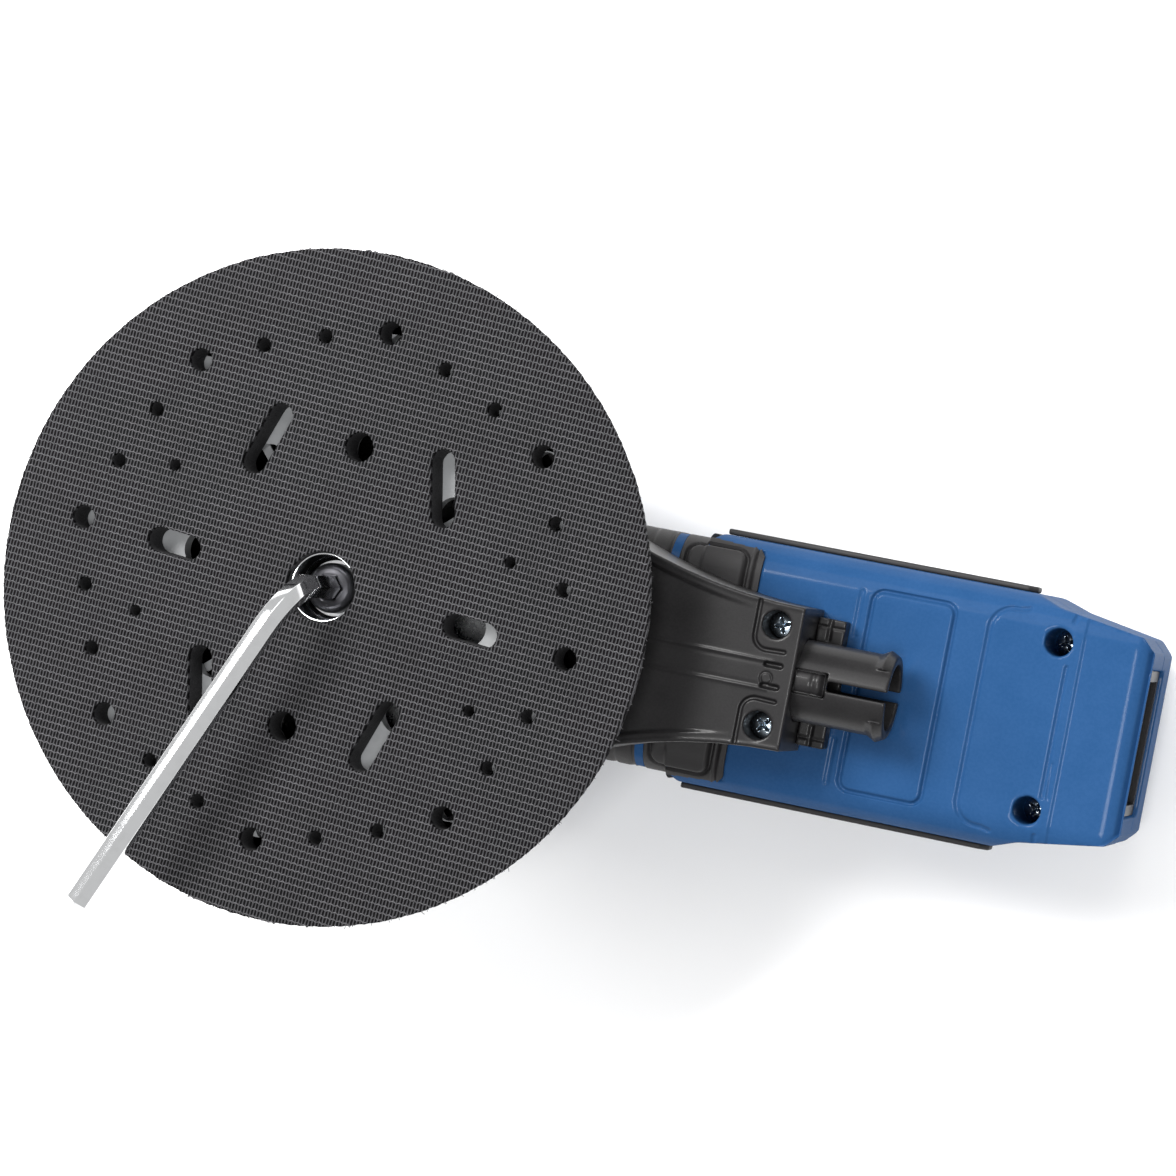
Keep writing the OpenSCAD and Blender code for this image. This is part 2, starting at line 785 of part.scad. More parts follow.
// Boss for a long screw, from z0 to z1
module boss(x, y, z0, z1, r) {
    translate([x, y, z0]) cylinder(r = r, h = z1 - z0);
}

module half_space(z0, z1) {
    span([-big, -big, z0], [big, big, z1]);
}

// Palm-side half: motor cup, lever saddle and heel
module upper_housing() {
    color([0.17, 0.34, 0.6]) difference() {
        union() {
            difference() {
                intersection() {
                    union() {
                        head_solid(shell_r, 0, split_z);
                        translate([0, 0, grip_top]) cylinder(r = head_r, h = split_z - grip_top);
                        difference() {
                            waist_solid(waist_w, 0);
                            head_solid(head_r, -touch, grip_top);
                        }
                        rear_solid(0);
                    }
                    half_space(0, split_z);
                }
                head_solid(shell_r, wall, split_z + 1);
                difference() {
                    waist_solid(waist_w, wall);
                    cylinder(r = shell_r, h = grip_top);
                }
                rear_solid(wall);
                span([rear_x0 - 1, -waist_w / 2 + wall, saddle_z + wall],
                    [rear_x0 + 6, waist_w / 2 - wall, 40]);
            }
            intersection() {
                ring(crown_brg[1] / 2 + 2.4, crown_brg[1] / 2 + touch, 4,
                    crown_brg_z + crown_brg[2] - 4);
                cylinder(r = shell_r, h = split_z);
            }
            ring(crown_brg[1] / 2 + 1, 6, 4, crown_brg_z - 4);
            for (a = [30 : 60 : 330]) {
                rotate([0, 0, a]) {
                    span([stator_d / 2 + touch, -1.5, stack_z], [cavity_r + 1, 1.5, split_z - 0.2]);
                }
            }
            both_sides() {
                boss(rear_screw_x, rear_screw_y, tail_z - 14, split_z - 0.2, 4);
                span([lever_pin_x - 5, lever_ear_y, lever_pin_z - 3.4],
                    [lever_pin_x + 5, lever_ear_y + lever_ear_t, saddle_z + 1]);
            }
        }
        both_sides() translate([rear_screw_x, rear_screw_y, 16]) cylinder(r = 1.6, h = 40);
        half_space(-20, 0);
        translate([lever_pin_x, 0, lever_pin_z]) rotate([90, 0, 0]) {
            cylinder(d = lever_pin_d + 2 * touch, h = 80, center = true);
        }
        span([plunger_x - 5, -5, 0], [plunger_x + 5, 5, saddle_z + wall + 1]);
        span([dial_x - dial_d / 2 - 1, -dial_t / 2 - 0.8, -1],
            [dial_x + dial_d / 2 + 1, dial_t / 2 + 0.8, wall + 1]);
        span([inlet_x0, -inlet_w / 2 - touch, inlet_z0 - touch], [big, inlet_w / 2 + touch, 50]);
        difference() {
            below_heel();
            rear_solid(0);
        }
    }
}

// Space under the tapered tail that no boss may reach into
module below_heel() {
    span([heel_x1 - 2, -60, -20], [rear_x1 + 5, 60, tail_z + 1]);
}

// Pad-side half: collar round the motor, deck under the duct, rear cover
module lower_housing() {
    inner_w = waist_w - 2 * side_grip_t;
    boss_x = min(carrier_r - carrier_screw_in, stator_d / 2 - stator_lap + carrier_boss_r);
    color([0.2, 0.37, 0.62]) difference() {
        union() {
            difference() {
                intersection() {
                    union() {
                        cylinder(r = head_r, h = collar_z);
                        intersection() {
                            waist_solid(inner_w, 0);
                            half_space(0, under_z - side_grip_t);
                        }
                        rear_solid(0);
                    }
                    half_space(split_z, collar_z);
                }
                cylinder(r = shell_r, h = collar_z + 1);
                difference() {
                    intersection() {
                        waist_solid(inner_w, wall);
                        half_space(0, under_z - side_grip_t - wall);
                    }
                    cylinder(r = shell_r + 1, h = 15);
                }
                rear_solid(wall);
                span([rear_x0 - 1, -inner_w / 2 + wall, 30],
                    [rear_x0 + 6, inner_w / 2 - wall, under_z - side_grip_t - wall - 4]);
            }
            for (a = [45 : 90 : 315]) {
                rotate([0, 0, a]) translate([0, 0, collar_z - carrier_t - 9]) intersection() {
                    union() {
                        translate([boss_x, 0, 0]) cylinder(r = carrier_boss_r, h = 9);
                        translate([boss_x, -carrier_boss_r, 0]) {
                            cube([shell_r - boss_x + 1, 2 * carrier_boss_r, 9]);
                        }
                    }
                    cylinder(r = shell_r + 0.5, h = 9);
                }
            }
            both_sides() {
                boss(rear_screw_x, rear_screw_y, split_z, under_z - 1, 5);
                boss(duct_screw_x, duct_screw_y, under_z - 12, under_z - 0.5, 3.4);
            }
        }
        both_sides() {
            translate([rear_screw_x, rear_screw_y, rear_head_z - 2.2]) cylinder(r = counterbore_r, h = 40);
            translate([rear_screw_x, rear_screw_y, 0]) cylinder(r = 1.7, h = 80);
            translate([duct_screw_x, duct_screw_y, 0]) cylinder(r = 1.6 + touch, h = 80);
        }
        for (a = [45 : 90 : 315]) {
            rotate([0, 0, a]) translate([carrier_r - carrier_screw_in, 0, 30]) cylinder(r = 1.65, h = 40);
        }
        span([inlet_x0, -inlet_w / 2 - touch, 20], [big, inlet_w / 2 + touch, inlet_z1 + touch]);
    }
}

module palm_grip() {
    color([0.12, 0.12, 0.13]) difference() {
        head_solid(head_r, 0, grip_top - touch);
        head_solid(shell_r, -touch, split_z);
    }
}

// Rubber panel that wraps the edge of the waist
module side_grip() {
    grip_x0 = 41;
    cut_y = 14;
    inner_w = waist_w - 2 * side_grip_t;
    color([0.14, 0.14, 0.15]) intersection() {
        difference() {
            waist_solid(waist_w, 0);
            cylinder(r = head_r + touch, h = collar_z + touch);
            intersection() {
                waist_solid(inner_w + 2 * touch, 0);
                half_space(0, under_z - side_grip_t + touch);
            }
        }
        span([grip_x0, cut_y, split_z + 0.2], [rear_x0 - 0.2, 60, 80]);
    }
}

module side_grip_left() {
    side_grip();
}

module side_grip_right() {
    mirror([0, 1, 0]) side_grip();
}

module bumper_strip() {
    y0 = rear_w / 2 + 0.02;
    color([0.12, 0.12, 0.12]) translate([0, y0 + strip_t, 0]) rotate([90, 0, 0]) linear_extrude(strip_t) {
        polygon([[rear_x0 + 2.2, split_z + 1], [taper_x - 3, split_z + 1], [taper_x - 1, split_z + 4],
            [taper_x - 1, strip_z1 - 2], [taper_x - 3, strip_z1], [rear_x0 + 2.2, strip_z1]]);
    }
}

module bumper_strip_left() {
    bumper_strip();
}

module bumper_strip_right() {
    mirror([0, 1, 0]) bumper_strip();
}

module housing_screws() {
    color([0.45, 0.47, 0.5]) both_sides() {
        translate([rear_screw_x, rear_screw_y, rear_head_z]) screw(screw_head_r, 1.55, 20);
    }
}

// ---------------------------------------------------------------- lever, switch, dial

module paddle_lever() {
    barrel_r = 3;
    paddle_r = 3;
    rib_x0 = plunger_x - 2;
    color([0.13, 0.13, 0.14]) difference() {
        union() {
            translate([lever_pin_x, 0, lever_pin_z]) rotate([90, 0, 0]) {
                cylinder(r = barrel_r, h = 2 * lever_ear_y - 0.8, center = true);
            }
            span([lever_pin_x, -lever_ear_y + 0.4, lever_z],
                [lever_pin_x + 8, lever_ear_y - 0.4, lever_z + lever_t]);
            span([lever_pin_x + 7, -lever_w / 2 + paddle_r, lever_z],
                [lever_pin_x + lever_l, lever_w / 2 - paddle_r, lever_z + lever_t]);
            span([lever_pin_x + 7, -lever_w / 2, lever_z],
                [lever_pin_x + lever_l - paddle_r, lever_w / 2, lever_z + lever_t]);
            both_sides() translate([lever_pin_x + lever_l - paddle_r, lever_w / 2 - paddle_r, lever_z]) {
                cylinder(r = paddle_r, h = lever_t);
            }
            span([rib_x0, -3, lever_z + 1], [rib_x0 + 4, 3, plunger_z - 0.2]);
            for (y = [-8, 8]) {
                span([lever_pin_x + 6, y - 0.8, lever_z + 1],
                    [lever_pin_x + lever_l - 16, y + 0.8, lever_z + lever_t + 1.2]);
            }
        }
        translate([lever_pin_x, 0, lever_pin_z]) rotate([90, 0, 0]) {
            cylinder(d = lever_pin_d + 2 * run_fit, h = 80, center = true);
        }
    }
}

module lever_pin() {
    color([0.7, 0.71, 0.72]) translate([lever_pin_x, 0, lever_pin_z]) rotate([90, 0, 0]) {
        cylinder(d = lever_pin_d, h = 2 * (lever_ear_y + lever_ear_t), center = true);
    }
}

// Compression spring between the saddle and the lever, drawn as its stacked turns
module lever_spring() {
    spring_r = 3;
    wire_r = 0.45;
    turns = 5;
    z0 = lever_z + lever_t + wire_r + touch;
    pitch = (saddle_z - z0 - wire_r - touch) / (turns - 1);
    color([0.6, 0.6, 0.62]) for (i = [0 : turns - 1]) {
        translate([spring_x, 0, z0 + i * pitch]) rotate_extrude() translate([spring_r, 0]) circle(r = wire_r);
    }
}

module switch_body() {
    color([0.1, 0.1, 0.1]) difference() {
        span([plunger_x - 10, -7, switch_z], [plunger_x + 10, 7, switch_z + 13]);
        translate([plunger_x, 0, switch_z - 1]) cylinder(r = plunger_r + run_fit, h = 9);
    }
}

module switch_plunger() {
    color([0.75, 0.2, 0.15]) translate([plunger_x, 0, plunger_z]) {
        cylinder(r = plunger_r, h = switch_z - plunger_z + 4.4);
    }
}

// Knurled thumb wheel that shows through the heel
module speed_dial() {
    knurls = 30;
    color([0.1, 0.1, 0.1]) translate([dial_x, 0, dial_z]) rotate([90, 0, 0]) difference() {
        cylinder(d = dial_d, h = dial_t, center = true);
        cylinder(r = dial_shaft_r + 0.02, h = dial_t + 2, center = true);
        for (i = [0 : knurls - 1]) {
            rotate([0, 0, i * 360 / knurls]) translate([dial_d / 2 + 0.25, 0, 0]) {
                cylinder(r = 0.7, h = dial_t + 2, center = true, $fn = 16);
            }
        }
    }
}

module dial_shaft() {
    color([0.7, 0.71, 0.72]) translate([dial_x, pot_y0 + 5, dial_z]) rotate([90, 0, 0]) {
        cylinder(r = dial_shaft_r, h = pot_y0 + 5 + dial_t / 2);
    }
}

module dial_potentiometer() {
    color([0.2, 0.3, 0.22]) difference() {
        translate([dial_x, pot_y0 + 9, dial_z]) rotate([90, 0, 0]) cylinder(r = 8, h = 9);
        translate([dial_x, pot_y0 + 5.2, dial_z]) rotate([90, 0, 0]) {
            cylinder(r = dial_shaft_r + run_fit, h = 20);
        }
    }
}

// ---------------------------------------------------------------- electronics

module control_board() {
    color([0.1, 0.35, 0.2]) difference() {
        span([84, -21, board_z], [inlet_x0 - 8, 21, board_z + board_t]);
        both_sides() translate([rear_screw_x, rear_screw_y, 0]) cylinder(r = 6, h = 80);
    }
}

module board_capacitors() {
    cap_r = 7.5;
    color([0.15, 0.16, 0.2]) for (x = [110, 128]) {
        translate([x, 14, board_z + board_t + cap_r]) rotate([90, 0, 0]) cylinder(r = cap_r, h = 28);
    }
}

module board_heatsink() {
    fins = 5;
    color([0.7, 0.7, 0.72]) {
        span([86, -5.5, board_z + board_t], [100, 5.5, board_z + board_t + 2]);
        for (i = [0 : fins - 1]) {
            span([86 + i * 3, -5.5, board_z + board_t + 1.9], [87.2 + i * 3, 5.5, board_z + board_t + 9]);
        }
    }
}

// Socket for a detachable mains lead
module inlet_block() {
    color([0.07, 0.07, 0.07]) difference() {
        span([inlet_x0, -inlet_w / 2, inlet_z0], [inlet_x1, inlet_w / 2, inlet_z1]);
        span([inlet_x0 + 5, -inlet_w / 2 + inlet_wall, inlet_z0 + inlet_wall],
            [big, inlet_w / 2 - inlet_wall, inlet_z1 - inlet_wall]);
        for (y = [-5, 5]) {
            translate([inlet_x0 - 1, y, (inlet_z0 + inlet_z1) / 2]) rotate([0, 90, 0]) {
                cylinder(r = 1.6, h = 20);
            }
        }
    }
}

module inlet_pins() {
    color([0.8, 0.8, 0.8]) for (y = [-5, 5]) {
        translate([inlet_x0 - 4, y, (inlet_z0 + inlet_z1) / 2]) rotate([0, 90, 0]) cylinder(r = 1.58, h = 17);
    }
}

// Spring steel tabs that hold the lead's plug
module inlet_clips() {
    color([0.62, 0.63, 0.64]) both_sides() {
        span([inlet_x1 - 3, inlet_w / 2 - inlet_wall - 0.8, inlet_z1 - 7],
            [inlet_x1 - 0.2, inlet_w / 2 - inlet_wall - 0.02, inlet_z1 - 3]);
    }
}

// A wire that runs along X from x0 to x1 at height z, then down to z0 at x_drop
module wire(x0, x1, y, z, x_drop, z0) {
    lead_r = 0.95;
    drop_r = 1.1;
    translate([x0, y, z]) rotate([0, 90, 0]) cylinder(r = lead_r, h = x1 - x0);
    translate([x_drop, y, z0]) cylinder(r = drop_r, h = z - z0 + drop_r);
}

module motor_leads() {
    lead_z = stack_z + stack_h + coil_over + 1;
    color([0.65, 0.1, 0.1]) for (y = [8, 11, 14]) {
        wire(24, 90, y, lead_z, 90, board_z + board_t);
    }
}

module inlet_leads() {
    color([0.15, 0.2, 0.5]) for (y = [-5, 5]) {
        wire(inlet_x0 - 10, inlet_x0 - 4, y, (inlet_z0 + inlet_z1) / 2, inlet_x0 - 10, board_z + board_t);
    }
}

// ---------------------------------------------------------------- hex key

module hex_key() {
    bend_r = 8;
    r = key_af / 2 / cos(30);
    arm_z = pad_face_z + key_lift;
    foot_z = head_z + head_h - 4;
    color([0.78, 0.79, 0.8]) at_pad() rotate([0, 0, key_turn]) {
        translate([0, 0, foot_z]) cylinder(r = r, h = arm_z - bend_r - foot_z, $fn = 6);
        translate([bend_r, 0, arm_z - bend_r]) rotate([90, 0, 180]) rotate_extrude(angle = 90) {
            translate([bend_r, 0]) circle(r = r, $fn = 6);
        }
        translate([bend_r, 0, arm_z]) rotate([0, 90, 0]) cylinder(r = r, h = key_reach - bend_r - 0.5, $fn = 6);
    }
}

upper_housing();
lower_housing();
palm_grip();
side_grip_left();
side_grip_right();
bumper_strip_left();
bumper_strip_right();
housing_screws();
motor_carrier();
carrier_screws();
shroud();
pad_brake_ring();
dust_duct();
dust_port();
duct_screws();
stator_core();
stator_windings();
crown_bearing_outer();
crown_bearing_balls();
front_bearing_outer();
front_bearing_balls();
control_board();
board_capacitors();
board_heatsink();
switch_body();
lever_pin();
lever_spring();
dial_potentiometer();
inlet_block();
inlet_pins();
inlet_clips();
motor_leads();
inlet_leads();
motor_shaft();
rotor_core();
rotor_magnets();
crown_bearing_inner();
front_bearing_inner();
dust_fan();
eccentric_carrier();
counterweight();
pad_bearing_outer();
pad_bearing_balls();
bearing_circlip();
pad_bearing_inner();
pad_spindle();
backing_plate();
pad_foam();
hook_face();
screw_cup_washer();
pad_screw();
paddle_lever();
switch_plunger();
speed_dial();
dial_shaft();
hex_key();
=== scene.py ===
"""Looks of a random orbital sander that lies on its back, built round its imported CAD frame.

The frame is in metres: +Z points out of the pad's face and +X towards the rear end. Sizes here are
in millimetres, and Forge turns them into metres when it makes a mesh.
"""
import json
import logging
import math
import random
from dataclasses import dataclass
from enum import Enum
from typing import Callable, Iterable, Sequence

import bmesh
import bpy
import numpy as np
from mathutils import Euler, Matrix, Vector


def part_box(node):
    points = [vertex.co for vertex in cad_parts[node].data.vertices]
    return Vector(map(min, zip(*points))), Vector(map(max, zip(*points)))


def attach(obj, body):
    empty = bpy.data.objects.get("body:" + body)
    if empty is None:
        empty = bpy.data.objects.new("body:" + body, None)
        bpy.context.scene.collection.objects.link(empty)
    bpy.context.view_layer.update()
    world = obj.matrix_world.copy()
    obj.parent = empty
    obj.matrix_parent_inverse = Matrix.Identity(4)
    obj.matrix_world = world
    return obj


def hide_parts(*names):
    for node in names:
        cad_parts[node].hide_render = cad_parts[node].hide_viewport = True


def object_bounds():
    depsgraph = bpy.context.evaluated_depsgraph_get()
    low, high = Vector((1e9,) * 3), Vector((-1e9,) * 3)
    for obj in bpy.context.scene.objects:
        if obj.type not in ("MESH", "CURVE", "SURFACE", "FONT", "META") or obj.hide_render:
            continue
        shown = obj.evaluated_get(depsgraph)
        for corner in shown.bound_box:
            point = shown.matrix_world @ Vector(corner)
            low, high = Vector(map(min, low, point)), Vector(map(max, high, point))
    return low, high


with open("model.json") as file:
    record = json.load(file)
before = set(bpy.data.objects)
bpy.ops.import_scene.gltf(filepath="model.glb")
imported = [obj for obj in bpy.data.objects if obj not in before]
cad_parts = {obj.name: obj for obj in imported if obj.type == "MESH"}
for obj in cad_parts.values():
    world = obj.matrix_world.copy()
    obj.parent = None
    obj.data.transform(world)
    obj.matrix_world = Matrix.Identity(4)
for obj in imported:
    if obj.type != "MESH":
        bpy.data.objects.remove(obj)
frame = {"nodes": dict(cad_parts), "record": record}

CAD_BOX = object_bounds()
MM = 0.001
TAU = 2 * math.pi
LOG = logging.getLogger("sander")

Point2 = tuple[float, float]
Colour = tuple[float, float, float]
Field = Callable[[np.ndarray], np.ndarray]


# ---------------------------------------------------------------- shader maths


class Signal:
    """A number or colour that runs through a material, usable in Python sums."""

    def __init__(self, shader: "Shader", socket: bpy.types.NodeSocket) -> None:
        """Wraps one output socket of a shader's node."""
        self.shader = shader
        self.socket = socket

    def _maths(self, operation: str, *terms: "Signal | float") -> "Signal":
        """Adds one Math node.

        Args:
            operation: The node's operation, such as ADD.
            terms: The node's inputs in order.

        Returns:
            The node's result.
        """
        return self.shader.make("ShaderNodeMath", {"operation": operation}, dict(enumerate(terms)))

    def __add__(self, other: "Signal | float") -> "Signal":
        """Returns the sum."""
        return self._maths("ADD", self, other)

    def __radd__(self, other: float) -> "Signal":
        """Returns the sum with the number first."""
        return self._maths("ADD", other, self)

    def __sub__(self, other: "Signal | float") -> "Signal":
        """Returns the difference."""
        return self._maths("SUBTRACT", self, other)

    def __rsub__(self, other: float) -> "Signal":
        """Returns the difference with the number first."""
        return self._maths("SUBTRACT", other, self)

    def __mul__(self, other: "Signal | float") -> "Signal":
        """Returns the product."""
        return self._maths("MULTIPLY", self, other)

    def __rmul__(self, other: float) -> "Signal":
        """Returns the product with the number first."""
        return self._maths("MULTIPLY", other, self)

    def __truediv__(self, other: "Signal | float") -> "Signal":
        """Returns the quotient."""
        return self._maths("DIVIDE", self, other)

    def __rtruediv__(self, other: float) -> "Signal":
        """Returns the quotient with the number first."""
        return self._maths("DIVIDE", other, self)

    def __abs__(self) -> "Signal":
        """Returns the size without its sign."""
        return self._maths("ABSOLUTE", self)

    def sine(self) -> "Signal":
        """Returns the sine of an angle in radians."""
        return self._maths("SINE", self)

    def power(self, exponent: float) -> "Signal":
        """Returns the value to a power."""
        return self._maths("POWER", self, exponent)

    def above(self, low: float, high: float) -> "Signal":
        """Rises smoothly from 0 at low to 1 at high.

        Args:
            low: The value that gives 0.
            high: The value that gives 1.

        Returns:
            The smooth step.
        """
        settings = {"interpolation_type": "SMOOTHSTEP"}
        return self.shader.make("ShaderNodeMapRange", settings, {0: self, 1: low, 2: high})


class Shader:
    """One material's node tree, with one method that makes every node."""

    def __init__(self, name: str) -> None:
        """Makes an empty material of one principled shader.

        Args:
            name: The material's name.
        """
        self.material = bpy.data.materials.new(name)
        self.material.use_nodes = True
        self.tree = self.material.node_tree
        self.tree.nodes.clear()
        self.surface = self.tree.nodes.new("ShaderNodeBsdfPrincipled")
        output = self.tree.nodes.new("ShaderNodeOutputMaterial")
        self.tree.links.new(self.surface.outputs[0], output.inputs[0])

    def make(self, kind: str, settings: dict | None = None, inputs: dict | None = None,
             output: str | int = 0) -> Signal:
        """Adds a node.

        Args:
            kind: The node's type.
            settings: Its own properties, set first; a ramp's stops come as "stops".
            inputs: Values or signals by socket name or number.
            output: The socket that is returned.

        Returns:
            The node's output.
        """
        node = self.tree.nodes.new(kind)
        for key, value in (settings or {}).items():
            if key == "stops":
                self._set_stops(node.color_ramp, value)
            else:
                setattr(node, key, value)
        for key, value in (inputs or {}).items():
            if isinstance(value, Signal):
                self.tree.links.new(value.socket, node.inputs[key])
            else:
                node.inputs[key].default_value = value
        return Signal(self, node.outputs[output])

    @staticmethod
    def _set_stops(ramp: bpy.types.ColorRamp, stops: Sequence[tuple[float, Colour]]) -> None:
        """Sets a colour ramp's stops.

        Args:
            ramp: The ramp.
            stops: Each stop's place and colour.
        """
        while len(ramp.elements) < len(stops):
            ramp.elements.new(0.5)
        for element, (place, colour) in zip(ramp.elements, stops):
            element.position = place
            element.color = (*colour, 1.0)

    def place(self) -> Signal:
        """Returns the point on the piece, in metres in the frame's axes."""
        return self.make("ShaderNodeTexCoord", output="Object")

    def axes(self, point: Signal) -> tuple[Signal, Signal, Signal]:
        """Splits a point into its three numbers, in millimetres."""
        parts = self.make("ShaderNodeSeparateXYZ", None, {0: point}).socket.node.outputs
        return tuple(Signal(self, part) * (1 / MM) for part in parts)

    def noise(self, size_mm: float, detail: float = 3.0, roughness: float = 0.55,
              stretch: Colour = (1.0, 1.0, 1.0)) -> Signal:
        """Makes noise with grains of a real size.

        Args:
            size_mm: The size of one grain.
            detail: How many finer layers it holds.
            roughness: How strong the finer layers are.
            stretch: How much the grain is squeezed along each axis.

        Returns:
            The noise, about 0.5 on average.
        """
        scaled = self.make("ShaderNodeVectorMath", {"operation": "MULTIPLY"},
                           {0: self.place(), 1: stretch})
        return self.make("ShaderNodeTexNoise", None, {
            "Vector": scaled, "Scale": 1 / (size_mm * MM), "Detail": detail, "Roughness": roughness})

    def blend(self, factor: "Signal | float", low: "Signal | Colour", high: "Signal | Colour") -> Signal:
        """Mixes two colours.

        Args:
            factor: 0 for low and 1 for high.
            low: The first colour.
            high: The second colour.

        Returns:
            The mixed colour.
        """
        ends = [c if isinstance(c, Signal) else (*c, 1.0) for c in (low, high)]
        mixed = self.make("ShaderNodeMix", {"data_type": "RGBA"}, {0: factor, 6: ends[0], 7: ends[1]})
        return Signal(self, mixed.socket.node.outputs[2])

    def edges(self, low: float, high: float) -> Signal:
        """Returns 1 on the piece's outer edges and 0 on its flats."""
        return self.make("ShaderNodeNewGeometry", output="Pointiness").above(low, high)

    def relief(self, height: Signal, depth_mm: float, strength: float = 1.0) -> None:
        """Turns a height into the surface's fine relief.

        Args:
            height: The height, from 0 to 1.
            depth_mm: How far 1 stands above 0.
            strength: How strongly it shows.
        """
        bump = self.make("ShaderNodeBump", None, {
            "Strength": strength, "Distance": depth_mm * MM, "Height": height})
        self.feed("Normal", bump)

    def feed(self, name: str, value: "Signal | float | Colour") -> None:
        """Sets or links one socket of the surface.

        Args:
            name: The socket's name.
            value: A number, a colour or a signal.
        """
        socket = self.surface.inputs[name]
        if isinstance(value, Signal):
            self.tree.links.new(value.socket, socket)
        elif isinstance(value, tuple):
            socket.default_value = (*value, 1.0)
        else:
            socket.default_value = value


# ---------------------------------------------------------------- finishes


@dataclass(frozen=True)
class Moulded:
    """Injection-moulded plastic with a spark-eroded grain and outer edges paled by a painted highlight."""

    name: str
    colour: Colour
    roughness: float = 0.45
    grain_mm: float = 0.35
    grain_depth: float = 0.02
    mottle: float = 0.12
    # edge: how strongly the painted highlight pales the outer edges
    edge: float = 0.25
    specular: float = 0.5
    gloss: float = 0.0

    def material(self) -> bpy.types.Material:
        """Returns the finish as a material."""
        shader = Shader(self.name)
        pale = tuple(min(1.0, c * (1 + self.mottle) + 0.004) for c in self.colour)
        deep = tuple(c * (1 - self.mottle) for c in self.colour)
        # painted highlight: the paler colour the outer edges take, as if catching the light
        edge_highlight_colour = tuple(min(1.0, c * 1.6 + 0.012) for c in self.colour)
        cloud = shader.noise(14.0, 2.0)
        speck = shader.noise(self.grain_mm * 1.7, 2.0)
        base = shader.blend(cloud.above(0.3, 0.7) * 0.6 + speck.above(0.35, 0.65) * 0.4, deep, pale)
        # painted highlight on the outer edges, found from the mesh's pointiness and broken up by noise
        edge_highlight = shader.edges(0.52, 0.60) * self.edge * shader.noise(2.5, 3.0).above(0.3, 0.6)
        shader.feed("Base Color", shader.blend(edge_highlight, base, edge_highlight_colour))
        shader.feed("Roughness", self.roughness - 0.08 + cloud * 0.16)
        shader.feed("Specular IOR Level", self.specular)
        shader.feed("Coat Weight", self.gloss)
        shader.feed("Coat Roughness", 0.13)
        shader.relief(shader.noise(self.grain_mm, 2.0, 0.5), self.grain_depth)
        return shader.material


@dataclass(frozen=True)
class SoftGrip:
    """Over-moulded rubber: dull, with a fine pebble and pale patches of dust."""

    name: str
    colour: Colour
    roughness: float = 0.62
    pebble_mm: float = 0.5

    def material(self) -> bpy.types.Material:
        """Returns the finish as a material."""
        shader = Shader(self.name)
        pale = tuple(c * 1.35 + 0.004 for c in self.colour)
        cloud = shader.noise(9.0, 3.0).above(0.3, 0.75)
        shader.feed("Base Color", shader.blend(cloud, self.colour, pale))
        shader.feed("Roughness", self.roughness - 0.06 + cloud * 0.12)
        shader.feed("Specular IOR Level", 0.4)
        shader.relief(shader.noise(self.pebble_mm, 2.0, 0.45), 0.03)
        return shader.material


@dataclass(frozen=True)
class HookWeave:
    """Knitted ground of the hook face: stitches in rows, with painted shadow between them."""

    name: str
    row_pitch: float
    column_pitch: float
    slant: float
    thread: Colour = (0.060, 0.060, 0.064)
    # shade: the painted shadow colour of the gaps between stitches and rows
    shade: Colour = (0.0015, 0.0015, 0.002)

    def material(self) -> bpy.types.Material:
        """Returns the finish as a material."""
        shader = Shader(self.name)
        x, y, _ = shader.axes(shader.place())
        centre_x, centre_y, _ = middle("hook_face")
        x, y = x - float(centre_x), y - float(centre_y)
        along = x * math.cos(self.slant) + y * math.sin(self.slant)
        across = y * math.cos(self.slant) - x * math.sin(self.slant)
        stray = shader.noise(1.1, 3.0) - 0.5
        quarter = TAU / 4
        stitch = (along * (2 * TAU / self.column_pitch) + stray * 2.2 + quarter).sine() * 0.5 + 0.5
        row = (across * (TAU / self.row_pitch) + quarter).sine() * 0.5 + 0.5
        fuzz = shader.noise(0.16, 2.0)
        # stitches dim away from each row's crest: painted shade between the rows
        stitch = stitch.above(0.2, 0.95) * (0.7 + row * 0.3)
        tone = (stitch * 0.85 + fuzz * 0.4 - 0.15).above(0.05, 0.95)
        # the ground runs from the painted gap shadow to the thread colour
        shader.feed("Base Color", shader.blend(tone, self.shade, self.thread))
        shader.feed("Roughness", 0.85 - stitch * 0.25)
        shader.feed("Specular IOR Level", 0.12)
        shader.relief(stitch + fuzz * 0.4, 0.35)
        return shader.material


@dataclass(frozen=True)
class Thread:
    """Nylon thread of the hook rows, each strand with its own shade."""

    name: str
    colour: Colour

    def material(self) -> bpy.types.Material:
        """Returns the finish as a material."""
        shader = Shader(self.name)
        strand = shader.noise(0.5, 3.0)
        patch = shader.noise(12.0, 2.0)
        pale = tuple(c * 1.7 for c in self.colour)
        deep = tuple(c * 0.55 for c in self.colour)
        shader.feed("Base Color", shader.blend((strand * 0.75 + patch * 0.25).above(0.35, 0.65), deep, pale))
        shader.feed("Roughness", 0.38 + strand * 0.25)
        shader.relief(shader.noise(0.12, 2.0), 0.05)
        return shader.material


@dataclass(frozen=True)
class Foam:
    """Closed-cell foam with open pores on its cut edge."""

    name: str
    colour: Colour

    def material(self) -> bpy.types.Material:
        """Returns the finish as a material."""
        shader = Shader(self.name)
        pores = shader.make("ShaderNodeTexVoronoi", None, {
            "Vector": shader.place(), "Scale": 1 / (0.6 * MM)})
        open_cell = 1 - pores.above(0.05, 0.35)
        pale = tuple(c * 2.2 + 0.006 for c in self.colour)
        shader.feed("Base Color", shader.blend(open_cell, pale, self.colour))
        shader.feed("Roughness", 0.9 - open_cell * 0.1)
        shader.relief(pores, 0.12)
        return shader.material


class Working(Enum):
    """How a metal's surface was worked, as how far its grain is squeezed along each axis."""

    TURNED = (1.0, 1.0, 9.0)
    DRAWN = (1.0, 1.0, 0.06)
    CAST = (1.0, 1.0, 1.0)


